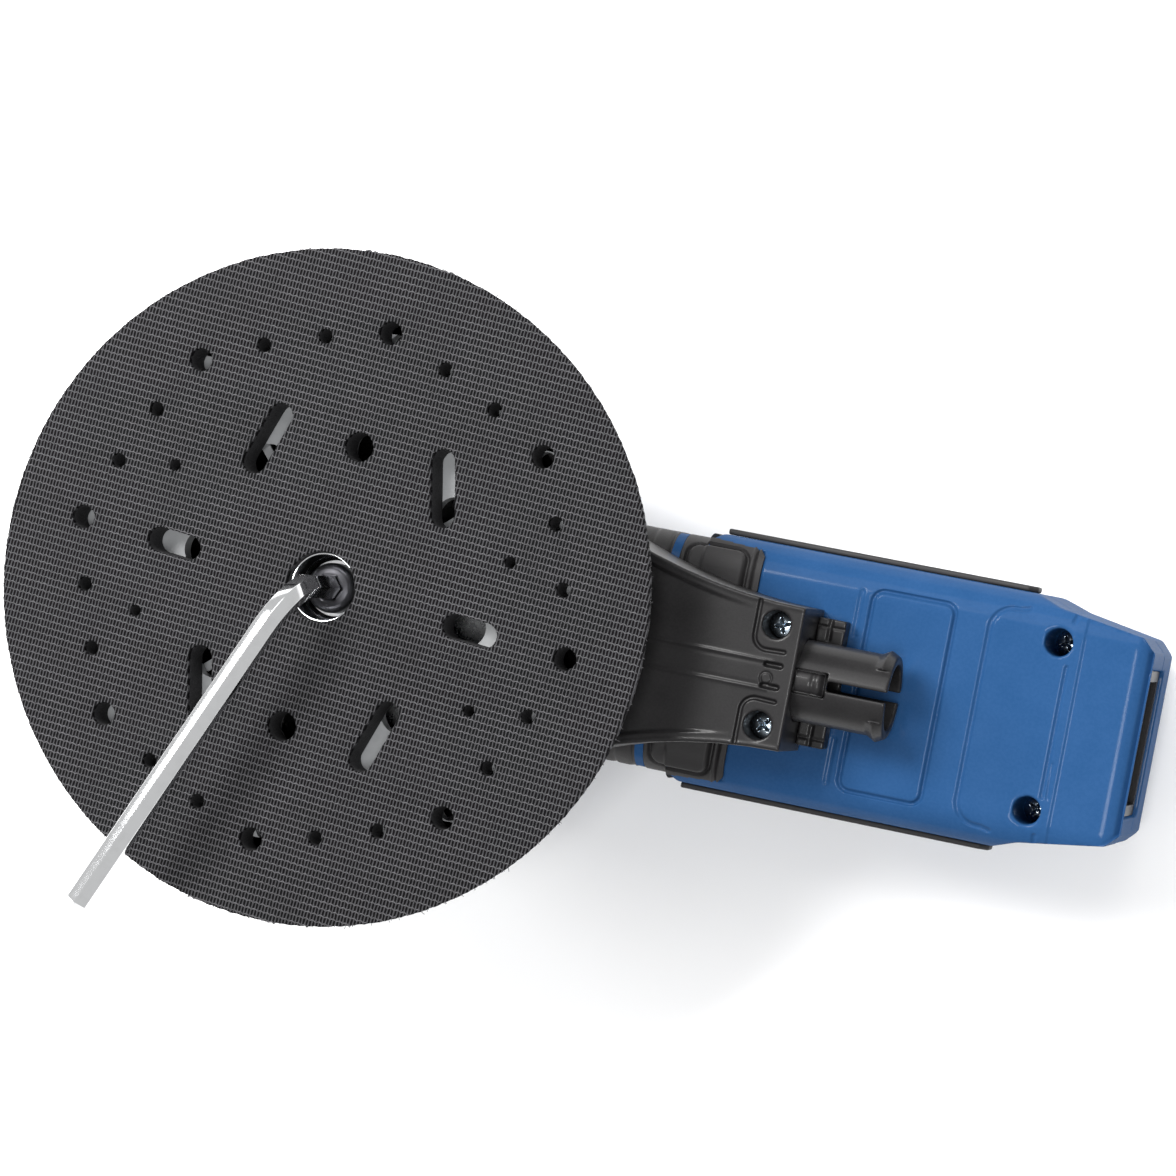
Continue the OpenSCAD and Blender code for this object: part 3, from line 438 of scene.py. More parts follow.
@dataclass(frozen=True)
class Metal:
    """Bare or plated metal with marks of how it was worked."""

    name: str
    colour: Colour
    roughness: float
    working: Working = Working.CAST
    mark_mm: float = 0.5
    mark_depth: float = 0.008
    tarnish: float = 0.15

    def material(self) -> bpy.types.Material:
        """Returns the finish as a material."""
        shader = Shader(self.name)
        marks = shader.noise(self.mark_mm, 4.0, 0.6, self.working.value)
        stain = shader.noise(3.5, 3.0).above(0.4, 0.75)
        dull = tuple(c * (1 - self.tarnish) for c in self.colour)
        shader.feed("Base Color", shader.blend(stain, self.colour, dull))
        shader.feed("Metallic", 1.0)
        shader.feed("Roughness", self.roughness * 0.8 + marks * (self.roughness * 0.3) + stain * 0.04)
        shader.relief(marks, self.mark_depth)
        return shader.material


@dataclass(frozen=True)
class Laminated:
    """Stacked electrical sheet: thin bright edges with varnish between them."""

    name: str
    colour: Colour
    sheet_mm: float = 0.5

    def material(self) -> bpy.types.Material:
        """Returns the finish as a material."""
        shader = Shader(self.name)
        _, _, z = shader.axes(shader.place())
        sheets = ((z * (TAU / self.sheet_mm)).sine() * 0.5 + 0.5).above(0.1, 0.5)
        dark = tuple(c * 0.35 for c in self.colour)
        shader.feed("Base Color", shader.blend(sheets, dark, self.colour))
        shader.feed("Metallic", 0.9)
        shader.feed("Roughness", 0.55 - sheets * 0.15)
        shader.relief(sheets + shader.noise(0.8) * 0.3, 0.03)
        return shader.material


@dataclass(frozen=True)
class Wound:
    """Enamelled copper wire wound round a tooth."""

    name: str
    colour: Colour
    wire_mm: float = 0.8

    def material(self) -> bpy.types.Material:
        """Returns the finish as a material."""
        shader = Shader(self.name)
        x, y, z = shader.axes(shader.place())
        turns = ((x * x + y * y).power(0.5) * (TAU / self.wire_mm)).sine() * 0.5 + 0.5
        deep = tuple(c * 0.3 for c in self.colour)
        shader.feed("Base Color", shader.blend(turns.above(0.05, 0.6), deep, self.colour))
        shader.feed("Metallic", 0.85)
        shader.feed("Roughness", 0.42 - turns * 0.12)
        shader.relief(turns + (z * (TAU / self.wire_mm)).sine() * 0.15, 0.2)
        return shader.material


@dataclass(frozen=True)
class CircuitBoard:
    """Solder mask over copper tracks."""

    name: str
    colour: Colour

    def material(self) -> bpy.types.Material:
        """Returns the finish as a material."""
        shader = Shader(self.name)
        x, y, _ = shader.axes(shader.place())
        tracks = (x * 1.9 + (y * 0.35).sine() * 3).sine().above(0.55, 0.75)
        pads = shader.make("ShaderNodeTexVoronoi", None, {
            "Vector": shader.place(), "Scale": 1 / (4.5 * MM)})
        solder = 1 - pads.above(0.10, 0.14)
        pale = tuple(c * 2.1 + 0.01 for c in self.colour)
        mask = shader.blend(tracks, self.colour, pale)
        shader.feed("Base Color", shader.blend(solder, mask, (0.6, 0.6, 0.58)))
        shader.feed("Metallic", solder * 0.9)
        shader.feed("Roughness", 0.35 - solder * 0.1)
        shader.relief(tracks * 0.5 + solder, 0.08)
        return shader.material


HOOK_ROW = 1.546
HOOK_COLUMN = 1.51
HOOK_SLANT = math.radians(-5.0)


class Finish(Enum):
    """Every finish on the sander."""

    BLUE = Moulded("blue_plastic", (0.0150, 0.0600, 0.160), 0.44, 0.4, 0.016, 0.05, 0.22, 0.0, 0.15)
    BLACK = Moulded("black_plastic", (0.0082, 0.0078, 0.0084), 0.42, 0.3, 0.016, 0.10, 0.16, 0.16, 0.13)
    COMPONENT = Moulded("component_black", (0.030, 0.030, 0.034), 0.3, 0.6, 0.01, 0.05, 0.1)
    PLATE = Moulded("plate_plastic", (0.38, 0.39, 0.40), 0.24, 1.2, 0.006, 0.04, 0.1)
    RED_LEAD = Moulded("lead_red", (0.42, 0.03, 0.025), 0.35, 0.8, 0.01, 0.08, 0.0)
    BLUE_LEAD = Moulded("lead_blue", (0.04, 0.08, 0.34), 0.35, 0.8, 0.01, 0.08, 0.0)
    GRIP = SoftGrip("black_rubber", (0.0115, 0.0108, 0.0115))
    WEAVE = HookWeave("hook_fabric", HOOK_ROW, HOOK_COLUMN, HOOK_SLANT)
    THREAD = Thread("hook_thread", (0.042, 0.041, 0.045))
    FOAM = Foam("pad_foam", (0.006, 0.006, 0.007))
    STEEL = Metal("steel", (0.56, 0.57, 0.58), 0.28, Working.TURNED, 0.6)
    BLACK_OXIDE = Metal("dark_steel", (0.030, 0.030, 0.033), 0.36, Working.TURNED, 0.9, 0.003)
    ZINC = Metal("screw_steel", (0.50, 0.58, 0.66), 0.20, Working.CAST, 0.8, 0.01, 0.25)
    CHROME = Metal("key_chrome", (0.86, 0.87, 0.88), 0.09, Working.DRAWN, 0.8, 0.003, 0.06)
    CAST = Metal("cast_aluminium", (0.62, 0.63, 0.64), 0.42, Working.CAST, 0.7, 0.04)
    COPPER = Wound("winding_copper", (0.62, 0.26, 0.10))
    SHEETS = Laminated("lamination", (0.42, 0.42, 0.44))
    BOARD = CircuitBoard("board_green", (0.012, 0.11, 0.045))


SLOT_FINISH = {finish.value.name: finish for finish in Finish}


class Paint:
    """Makes each finish's material once and puts it on pieces."""

    def __init__(self) -> None:
        """Starts with no material made."""
        self._made: dict[Finish, bpy.types.Material] = {}

    def material(self, finish: Finish) -> bpy.types.Material:
        """Returns a finish's material."""
        if finish not in self._made:
            self._made[finish] = finish.value.material()
        return self._made[finish]

    def coat(self, piece: bpy.types.Object, finish: Finish) -> None:
        """Gives a piece one finish.

        Args:
            piece: The piece.
            finish: Its finish.
        """
        piece.data.materials.clear()
        piece.data.materials.append(self.material(finish))


# ---------------------------------------------------------------- mesh work


class Forge:
    """Makes and shapes meshes; every length it takes is in millimetres."""

    @staticmethod
    def link(name: str, mesh: bpy.types.Mesh, smooth: bool = True) -> bpy.types.Object:
        """Puts a mesh into the scene as an object at the origin."""
        piece = bpy.data.objects.new(name, mesh)
        bpy.context.collection.objects.link(piece)
        if smooth:
            mesh.shade_smooth()
        return piece

    @staticmethod
    def build(name: str, points: Sequence[Sequence[float]], faces: Sequence[Sequence[int]],
              smooth: bool = True) -> bpy.types.Object:
        """Makes a piece from points and faces.

        Args:
            name: The piece's name.
            points: Its points.
            faces: Each face's point numbers.
            smooth: Whether its shading is smooth.

        Returns:
            The new piece.
        """
        mesh = bpy.data.meshes.new(name)
        mesh.from_pydata((np.asarray(points, float) * MM).tolist(), [], faces)
        shape = bmesh.new()
        shape.from_mesh(mesh)
        bmesh.ops.recalc_face_normals(shape, faces=shape.faces)
        shape.to_mesh(mesh)
        shape.free()
        return Forge.link(name, mesh, smooth)

    @staticmethod
    def settle(piece: bpy.types.Object) -> None:
        """Applies all of a piece's modifiers to its mesh."""
        graph = bpy.context.evaluated_depsgraph_get()
        graph.update()
        made = bpy.data.meshes.new_from_object(piece.evaluated_get(graph))
        old = piece.data
        piece.modifiers.clear()
        piece.data = made
        bpy.data.meshes.remove(old)

    @staticmethod
    def recast(name: str, node: str, voxel: float, rounds: int) -> bpy.types.Object:
        """Makes a finely meshed copy of a CAD node with its edges eased.

        Args:
            name: The piece's name.
            node: The CAD node.
            voxel: The size of the new mesh's faces.
            rounds: How many times its points are smoothed.

        Returns:
            The new piece.
        """
        mesh = frame["nodes"][node].data.copy()
        mesh.materials.clear()
        shape = bmesh.new()
        shape.from_mesh(mesh)
        bmesh.ops.remove_doubles(shape, verts=shape.verts, dist=1e-7)
        shape.to_mesh(mesh)
        shape.free()
        piece = Forge.link(name, mesh)
        net = piece.modifiers.new("net", "REMESH")
        net.mode = "VOXEL"
        net.voxel_size = voxel * MM
        net.use_smooth_shade = True
        ease = piece.modifiers.new("ease", "SMOOTH")
        ease.factor = 0.5
        ease.iterations = rounds
        Forge.settle(piece)
        return piece

    @staticmethod
    def points_of(piece: bpy.types.Object) -> np.ndarray:
        """Returns a piece's points in millimetres, one row each."""
        flat = np.empty(len(piece.data.vertices) * 3)
        piece.data.vertices.foreach_get("co", flat)
        return flat.reshape(-1, 3) / MM

    @staticmethod
    def move_points(piece: bpy.types.Object, points: np.ndarray) -> None:
        """Puts a piece's points in new places."""
        piece.data.vertices.foreach_set("co", (points * MM).ravel())
        piece.data.update()

    @staticmethod
    def refine(piece: bpy.types.Object, near: Field, rounds: int = 1) -> None:
        """Splits the faces near a feature so that it can be carved crisply.

        Args:
            piece: The piece.
            near: Gives True for points that lie near the feature.
            rounds: How many times the faces are halved.
        """
        for _ in range(rounds):
            inside = near(Forge.points_of(piece))
            shape = bmesh.new()
            shape.from_mesh(piece.data)
            edges = [e for e in shape.edges if inside[e.verts[0].index] and inside[e.verts[1].index]]
            bmesh.ops.subdivide_edges(shape, edges=edges, cuts=1, use_grid_fill=True)
            shape.to_mesh(piece.data)
            shape.free()
        piece.data.shade_smooth()

    @staticmethod
    def carve(piece: bpy.types.Object, height: Field, facing: Sequence[float] = (0, 0, 1)) -> None:
        """Moves the points that face one way by a height.

        Args:
            piece: The piece.
            height: Gives each point's height, negative for a hollow.
            facing: The direction that the carved side faces.
        """
        points = Forge.points_of(piece)
        normals = np.empty(len(points) * 3)
        piece.data.vertex_normals.foreach_get("vector", normals)
        way = np.array(facing, float)
        facing_it = normals.reshape(-1, 3) @ way > 0.55
        points[facing_it] += height(points[facing_it])[:, None] * way
        Forge.move_points(piece, points)

    @staticmethod
    def lathe(name: str, centre: Point2, profile: Sequence[Point2], sides: int = 96) -> bpy.types.Object:
        """Turns a closed profile round a vertical axis.

        Args:
            name: The piece's name.
            centre: The axis's place.
            profile: Radius and height of each corner, in order round the section.
            sides: How many faces go round.

        Returns:
            The new piece.
        """
        points, faces = [], []
        count = len(profile)
        for i in range(sides):
            turn = TAU * i / sides
            for radius, height in profile:
                points.append((centre[0] + radius * math.cos(turn), centre[1] + radius * math.sin(turn), height))
            for k in range(count):
                a, b = i * count + k, i * count + (k + 1) % count
                c, d = (i + 1) % sides * count + (k + 1) % count, (i + 1) % sides * count + k
                faces.append((a, b, c, d))
        piece = Forge.build(name, points, faces)
        shape = bmesh.new()
        shape.from_mesh(piece.data)
        bmesh.ops.remove_doubles(shape, verts=shape.verts, dist=1e-7)
        bmesh.ops.recalc_face_normals(shape, faces=shape.faces)
        shape.to_mesh(piece.data)
        shape.free()
        return piece

    @staticmethod
    def sweep(name: str, path: np.ndarray, sides: np.ndarray, ups: np.ndarray,
              section: Sequence[Point2], sizes: Sequence[float] | None = None) -> bpy.types.Object:
        """Runs a closed section along a path and caps its ends.

        Args:
            name: The piece's name.
            path: The path's points.
            sides: The section's first axis at each point.
            ups: The section's second axis at each point.
            section: The section's corners.
            sizes: How large the section is at each point.

        Returns:
            The new piece.
        """
        sizes = sizes if sizes is not None else [1.0] * len(path)
        count = len(section)
        points = [p + s * (u * side + v * up)
                  for p, side, up, s in zip(path, sides, ups, sizes) for u, v in section]
        faces = [(i * count + k, i * count + (k + 1) % count,
                  (i + 1) * count + (k + 1) % count, (i + 1) * count + k)
                 for i in range(len(path) - 1) for k in range(count)]
        faces += [tuple(range(count)), tuple((len(path) - 1) * count + k for k in range(count))]
        return Forge.build(name, points, faces)

    @staticmethod
    def perforated(name: str, outline: Sequence[Point2], holes: Iterable[Sequence[Point2]],
                   low: float, high: float, round_off: float) -> bpy.types.Object:
        """Makes a plate with holes and eased rims.

        Args:
            name: The piece's name.
            outline: The plate's edge.
            holes: Each hole's edge.
            low: The height of its underside.
            high: The height of its face.
            round_off: How far its rims are eased.

        Returns:
            The new piece.
        """
        curve = bpy.data.curves.new(name, "CURVE")
        curve.dimensions = "2D"
        curve.fill_mode = "BOTH"
        curve.extrude = ((high - low) / 2 - round_off) * MM
        curve.bevel_depth = round_off * MM
        curve.bevel_resolution = 2
        curve.offset = -round_off * MM
        for loop in (outline, *holes):
            spline = curve.splines.new("POLY")
            spline.points.add(len(loop) - 1)
            for point, (x, y) in zip(spline.points, loop):
                point.co = (x * MM, y * MM, 0, 1)
            spline.use_cyclic_u = True
        maker = bpy.data.objects.new(name + "_curve", curve)
        bpy.context.collection.objects.link(maker)
        graph = bpy.context.evaluated_depsgraph_get()
        graph.update()
        mesh = bpy.data.meshes.new_from_object(maker.evaluated_get(graph))
        bpy.data.objects.remove(maker)
        mesh.transform(Matrix.Translation((0, 0, (low + high) / 2 * MM)))
        shape = bmesh.new()
        shape.from_mesh(mesh)
        bmesh.ops.remove_doubles(shape, verts=shape.verts, dist=1e-7)
        shape.to_mesh(mesh)
        shape.free()
        mesh.name = name
        piece = Forge.link(name, mesh)
        mesh.set_sharp_from_angle(angle=math.radians(40))
        return piece

    @staticmethod
    def loft(name: str, loops: Sequence[np.ndarray], closed: bool = False) -> bpy.types.Object:
        """Skins a row of loops that all have as many points.

        Args:
            name: The piece's name.
            loops: The loops in order.
            closed: Whether the last loop joins the first; if not, both ends are capped.

        Returns:
            The new piece.
        """
        count = len(loops[0])
        points = np.concatenate(loops)
        faces = []
        for i in range(len(loops) if closed else len(loops) - 1):
            here, there = i * count, (i + 1) % len(loops) * count
            faces += [(here + k, here + (k + 1) % count, there + (k + 1) % count, there + k)
                      for k in range(count)]
        if not closed:
            faces += [tuple(range(count)), tuple(range(len(points) - count, len(points)))]
        return Forge.build(name, points, faces)

    @staticmethod
    def blanket(name: str, top: np.ndarray, base: np.ndarray, keep: np.ndarray) -> bpy.types.Object:
        """Makes a closed sheet between two grids of points.

        Args:
            name: The piece's name.
            top: The outer grid, rows by columns by 3.
            base: The inner grid of the same shape.
            keep: Which cells of the grid are there.

        Returns:
            The new piece.
        """
        rows, columns = top.shape[:2]
        points = np.concatenate([top.reshape(-1, 3), base.reshape(-1, 3)])
        under = rows * columns
        faces, rims = [], {}
        for i, j in zip(*np.nonzero(keep)):
            ring = (i * columns + j, (i + 1) * columns + j, (i + 1) * columns + j + 1, i * columns + j + 1)
            faces.append(ring)
            faces.append(tuple(under + k for k in reversed(ring)))
            for a, b in zip(ring, ring[1:] + ring[:1]):
                if (b, a) in rims:
                    del rims[(b, a)]
                else:
                    rims[(a, b)] = True
        faces += [(b, a, under + a, under + b) for a, b in rims]
        used = sorted({k for face in faces for k in face})
        new = {old: k for k, old in enumerate(used)}
        return Forge.build(name, points[used], [tuple(new[k] for k in face) for face in faces])

    @staticmethod
    def crisp(piece: bpy.types.Object, angle: float) -> None:
        """Shades a piece smooth except across edges sharper than an angle in degrees."""
        piece.data.shade_smooth()
        piece.data.set_sharp_from_angle(angle=math.radians(angle))


class Lines:
    """Distances from points to lines in the plane, for carving; all in millimetres."""

    @staticmethod
    def arc(centre: Point2, radius: float, start: float, end: float, steps: int = 8) -> list[Point2]:
        """Returns points on an arc; angles are in degrees."""
        turns = [math.radians(start + (end - start) * i / steps) for i in range(steps + 1)]
        return [(centre[0] + radius * math.cos(t), centre[1] + radius * math.sin(t)) for t in turns]

    @staticmethod
    def circle(centre: Point2, radius: float, sides: int = 64) -> list[Point2]:
        """Returns points round a circle."""
        return Lines.arc(centre, radius, 0, 360 - 360 / sides, sides - 1)

    @staticmethod
    def rounded_box(x0: float, x1: float, y: float, radius: float) -> list[Point2]:
        """Returns a closed rectangle with round corners, as wide to both sides of the long axis."""
        corners = ((x1 - radius, y - radius, 0), (x0 + radius, y - radius, 90),
                   (x0 + radius, radius - y, 180), (x1 - radius, radius - y, 270))
        path = [p for x, y_, a in corners for p in Lines.arc((x, y_), radius, a, a + 90)]
        return path + path[:1]

    @staticmethod
    def near(points: np.ndarray, path: Sequence[Point2], plane: tuple[int, int] = (0, 1)) -> np.ndarray:
        """Gives each point's distance to a path.

        Args:
            points: The points, one row each.
            path: The path's corners.
            plane: Which two of the points' numbers the path lies in.

        Returns:
            The distances.
        """
        flat = points[:, list(plane)]
        least = np.full(len(flat), np.inf)
        for a, b in zip(path, path[1:]):
            start, way = np.array(a, float), np.array(b, float) - np.array(a, float)
            share = np.clip((flat - start) @ way / max(way @ way, 1e-12), 0, 1)
            least = np.minimum(least, np.linalg.norm(flat - start - share[:, None] * way, axis=1))
        return least

    @staticmethod
    def groove(distance: np.ndarray, width: float, depth: float) -> np.ndarray:
        """Turns distances into a round-bottomed groove's height."""
        return -depth * np.exp(-(2 * distance / width) ** 4)

    @staticmethod
    def rise(value: np.ndarray, start: float, end: float) -> np.ndarray:
        """Rises smoothly from 0 at start to 1 at end."""
        share = np.clip((value - start) / (end - start), 0, 1)
        return share * share * (3 - 2 * share)


# ---------------------------------------------------------------- sub-assemblies


class SubAssembly:
    """A group of pieces that ride on one body of the frame."""

    body = "root_body"

    def __init__(self, paint: Paint) -> None:
        """Keeps the paint that the pieces are coated with."""
        self.paint = paint

    def fit(self, piece: bpy.types.Object, finish: Finish, *stands_for: str,
            slot: str | None = None) -> bpy.types.Object:
        """Coats a piece and fits it to its body.

        Args:
            piece: The piece.
            finish: Its finish.
            stands_for: The CAD nodes that it replaces.
            slot: The record's material slot, if it isn't the finish's own; not used.

        Returns:
            The piece.
        """
        self.paint.coat(piece, finish)
        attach(piece, self.body)
        if stands_for:
            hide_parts(*stands_for)
        LOG.info("%s: %d faces, on %s", piece.name, len(piece.data.polygons), self.body)
        return piece


def middle(node: str) -> np.ndarray:
    """Returns the middle of a CAD node's box in millimetres."""
    low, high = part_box(node)
    return (np.array(low) + np.array(high)) / 2 / MM


def span_of(node: str, axis: int) -> tuple[float, float]:
    """Returns a CAD node's lowest and highest place along one axis, in millimetres."""
    low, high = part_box(node)
    return low[axis] / MM, high[axis] / MM


@dataclass
class HolePattern:
    """The pad's holes: capsules, each of two ends and a radius."""

    turn: float = -5.0
    ring_count: int = 8
    ring_r: float = 58.0
    ring_hole: float = 5.2
    small_r: float = 55.4
    small_hole: float = 3.3
    slot_r: tuple[float, float] = (32.0, 39.2)
    slot_w: float = 5.5
    skew: float = 15.2
    mid_hole: float = 6.6
    pin_r: float = 43.7
    pin_turn: float = 22.7
    pin_hole: float = 2.6
    well: float = 15.8

    def __post_init__(self) -> None:
        """Finds the pad's axis and lists the holes."""
        self.centre = middle("hook_face")[:2]
        step = 360 / self.ring_count
        self.holes: list[tuple[np.ndarray, np.ndarray, float]] = []
        for i in range(self.ring_count):
            self._add(self.ring_r, i * step, self.ring_r, i * step, self.ring_hole)
            for k in (1, 2):
                turn = (i + k / 3) * step
                self._add(self.small_r, turn, self.small_r, turn, self.small_hole)
        near, far = self.slot_r
        for turn in (90, 270):
            self._add(near, turn, near, turn, self.mid_hole)
        for turn in (0, 180):
            for side in (-self.pin_turn, self.pin_turn):
                self._add(self.pin_r, turn + side, self.pin_r, turn + side, self.pin_hole)
            for side in (-1, 0, 1):
                start = turn + side * step
                self._add(near, start, far, start + side * self.skew, self.slot_w)
        self._add(0, 0, 0, 0, self.well)

    def _add(self, r0: float, turn0: float, r1: float, turn1: float, width: float) -> None:
        """Adds a hole between two polar places."""
        ends = [self.centre + r * np.array([math.cos(a), math.sin(a)])
                for r, a in ((r0, math.radians(turn0 + self.turn)), (r1, math.radians(turn1 + self.turn)))]
        self.holes.append((ends[0], ends[1], width / 2))

    def loops(self, ragged: float, dice: random.Random) -> list[list[Point2]]:
        """Gives each hole's edge.

        Args:
            ragged: How far the edge wanders.
            dice: The random source.

        Returns:
            One loop for each hole.
        """
        loops = []
        for a, b, radius in self.holes:
            way = b - a
            turn = math.degrees(math.atan2(way[1], way[0])) if np.linalg.norm(way) > 0 else 0.0
            steps = max(8, int(radius * 10))
            loop = Lines.arc(tuple(b), radius, turn - 90, turn + 90, steps)
            loop += Lines.arc(tuple(a), radius, turn + 90, turn + 270, steps)
            if np.linalg.norm(way) > 0:
                sides = max(2, int(np.linalg.norm(way) / 0.35))
                loop = self._fill(loop, steps, sides)
            else:
                loop = loop[:steps] + loop[steps + 1:-1]
            loops.append([(x + dice.uniform(-ragged, ragged), y + dice.uniform(-ragged, ragged))
                          for x, y in loop])
        return loops

    @staticmethod
    def _fill(loop: list[Point2], steps: int, sides: int) -> list[Point2]:
        """Adds points along a slot's two straight sides."""
        half = steps + 1
        out: list[Point2] = []
        for part, after in ((loop[:half], loop[half]), (loop[half:], loop[0])):
            out += part
            last = part[-1]
            out += [(last[0] + (after[0] - last[0]) * k / sides, last[1] + (after[1] - last[1]) * k / sides)
                    for k in range(1, sides)]
        return out

    def clear_of(self, points: np.ndarray, margin: float) -> np.ndarray:
        """Tells which points lie outside every hole.

        Args:
            points: The points in the plane.
            margin: How far they have to stay from a hole's edge.

        Returns:
            True for each clear point.
        """
        clear = np.ones(len(points), bool)
        for a, b, radius in self.holes:
            clear &= Lines.near(points, [tuple(a), tuple(b)]) > radius + margin
        return clear


@dataclass
class ThreadRows:
    """Raised thread rows of the hook face."""

    row: float = HOOK_ROW
    column: float = HOOK_COLUMN
    slant: float = HOOK_SLANT
    arch: tuple[float, ...] = (-0.20, 0.04, 0.14, 0.04)
    half_width: float = 0.22
    height: float = 0.28
    edge_gap: float = 0.25

    def strands(self, radius: float, pattern: HolePattern, top: float,
                dice: random.Random) -> list[np.ndarray]:
        """Lays arched rows over a disc and breaks them at its holes.

        Args:
            radius: The disc's radius.
            pattern: Its holes.
            top: The height of the threads' crests.
            dice: The random source.

        Returns:
            The crest line of each strand.
        """
        along = np.array([math.cos(self.slant), math.sin(self.slant)])
        across = np.array([-along[1], along[0]])
        strands = []
        rows = int(radius / self.row)
        for j in range(-rows, rows + 1):
            reach = math.sqrt(max(radius ** 2 - (j * self.row) ** 2, 0)) - self.edge_gap
            half = int(reach / (self.column / 4))
            if half < 4:
                continue
            step = np.arange(-half, half + 1)
            place = step * self.column / 4
            sway = np.array([dice.gauss(0, 0.03) for _ in place])
            bow = np.array(self.arch)[step % 4] + sway
            lift = np.array([dice.uniform(-0.05, 0.0) for _ in place]) + np.minimum(bow, 0) * 0.5
            line = pattern.centre + place[:, None] * along + (j * self.row + bow)[:, None] * across
            crest = np.column_stack([line, top + lift])
            clear = pattern.clear_of(crest, 0.12)
            run: list[np.ndarray] = []
            for point, good in zip(crest, clear):
                if good:
                    run.append(point)
                else:
                    if len(run) > 2:
                        strands.append(np.array(run))
                    run = []
            if len(run) > 2:
                strands.append(np.array(run))
        return strands

    def tube(self, strand: np.ndarray, points: list, faces: list, half: float, height: float) -> None:
        """Adds one strand as a three-sided tube to growing lists of points and faces."""
        way = np.gradient(strand, axis=0)
        side = np.column_stack([-way[:, 1], way[:, 0], np.zeros(len(way))])
        side /= np.maximum(np.linalg.norm(side, axis=1), 1e-9)[:, None]
        first = len(points)
        drop = np.array([0, 0, height])
        for crest, out in zip(strand, side):
            points += [crest - out * half - drop, crest, crest + out * half - drop]
        for i in range(len(strand) - 1):
            a = first + 3 * i
            for k in range(3):
                faces.append((a + k, a + (k + 1) % 3, a + 3 + (k + 1) % 3, a + 3 + k))
        last = first + 3 * (len(strand) - 1)
        faces += [(first, first + 1, first + 2), (last, last + 1, last + 2)]


class Pad(SubAssembly):
    """Foam, hook face and thread rows, which spin with the pad."""

    body = "pad"
    ground_drop = 0.22
    fray_count = 420
    foam_draw = 3.6
    rim_from = 70.0

    def make(self) -> None:
        """Makes the hook face, its threads and the foam."""
        dice = random.Random(7)
        pattern = HolePattern()
        hook_low, hook_high = span_of("hook_face", 2)
        low, high = span_of("hook_face", 0)
        radius = (high - low) / 2
        edge = [(pattern.centre[0] + (radius - 0.1 + dice.uniform(-0.12, 0.1)) * math.cos(t),
                 pattern.centre[1] + (radius - 0.1 + dice.uniform(-0.12, 0.1)) * math.sin(t))
                for t in np.linspace(0, TAU, 720, endpoint=False)]
        face = Forge.perforated("hook_ground", edge, pattern.loops(0.09, dice),
                                hook_low, hook_high - self.ground_drop, 0.12)
        self.fit(face, Finish.WEAVE, "hook_face")
        self.fit(self._threads(radius, pattern, hook_high, dice), Finish.THREAD, slot="hook_fabric")
        foam_low, foam_high = span_of("pad_foam", 2)
        foam = Forge.perforated("foam_layer", Lines.circle(tuple(pattern.centre), radius - 0.5, 240),
                                pattern.loops(0.0, dice), foam_low, foam_high, 0.5)
        self._draw_in(foam, pattern.centre, foam_low, foam_high)
        self.fit(foam, Finish.FOAM, "pad_foam")

    def _threads(self, radius: float, pattern: HolePattern, top: float,
                 dice: random.Random) -> bpy.types.Object:
        """Makes the thread rows and the frayed ends round the rim.

        Args:
            radius: The face's radius.
            pattern: Its holes.
            top: The height of the crests.
            dice: The random source.

        Returns:
            The threads as one piece.
        """
        rows = ThreadRows()
        points: list = []
        faces: list = []
        for strand in rows.strands(radius, pattern, top, dice):
            rows.tube(strand, points, faces, rows.half_width, rows.height)
        for _ in range(self.fray_count):
            turn = dice.uniform(0, TAU)
            lean = turn + dice.uniform(-1.2, 1.2)
            reach = dice.uniform(0.3, 0.9) if dice.random() < 0.93 else dice.uniform(1.0, 1.5)
            start = np.array([*(pattern.centre + (radius - 0.4) * np.array([math.cos(turn), math.sin(turn)])),
                              top - 0.25])
            way = np.array([math.cos(lean), math.sin(lean), dice.uniform(-0.35, 0.15)])
            curl = np.array([-way[1], way[0], 0]) * dice.uniform(-0.35, 0.35)
            bits = np.array([start + way * reach * s + curl * reach * s * s for s in (0, 0.35, 0.7, 1.0)])
            rows.tube(bits, points, faces, 0.06, 0.07)
        piece = Forge.build("hook_threads", points, faces)
        return piece

    def _draw_in(self, foam: bpy.types.Object, centre: np.ndarray, low: float, high: float) -> None:
        """Tapers the foam's rim towards its back.

        Args:
            foam: The foam.
            centre: The pad's axis.
            low: The height of its back.
            high: The height of its face.
        """
        points = Forge.points_of(foam)
        away = points[:, :2] - centre
        reach = np.linalg.norm(away, axis=1)
        rim = reach > self.rim_from
        share = (high - points[rim, 2]) / (high - low)
        away[rim] *= ((reach[rim] - self.foam_draw * share) / reach[rim])[:, None]
        points[:, :2] = centre + away
        Forge.move_points(foam, points)


class PadFixing(SubAssembly):
    """The cupped washer in the pad's well."""

    body = "pad"
    wall = 0.6
    bore = 4.1

    def make(self) -> None:
        """Makes the washer."""
        centre = tuple(middle("screw_cup_washer")[:2])
        low, high = span_of("screw_cup_washer", 2)
        x0, x1 = span_of("screw_cup_washer", 0)
        outer = (x1 - x0) / 2
        lip = Lines.arc((outer - self.wall / 2, high - self.wall / 2), self.wall / 2, 0, 180, 6)
        profile = [(self.bore, low), (outer - 1.2, low), (outer, low + 1.2), *lip,
                   (outer - self.wall, low + 2.2), (outer - self.wall - 1.0, low + 1.0), (self.bore, low + 1.0)]
        cup = Forge.lathe("cup_washer", centre, profile)
        Forge.crisp(cup, 50)
        self.fit(cup, Finish.CHROME, "screw_cup_washer")


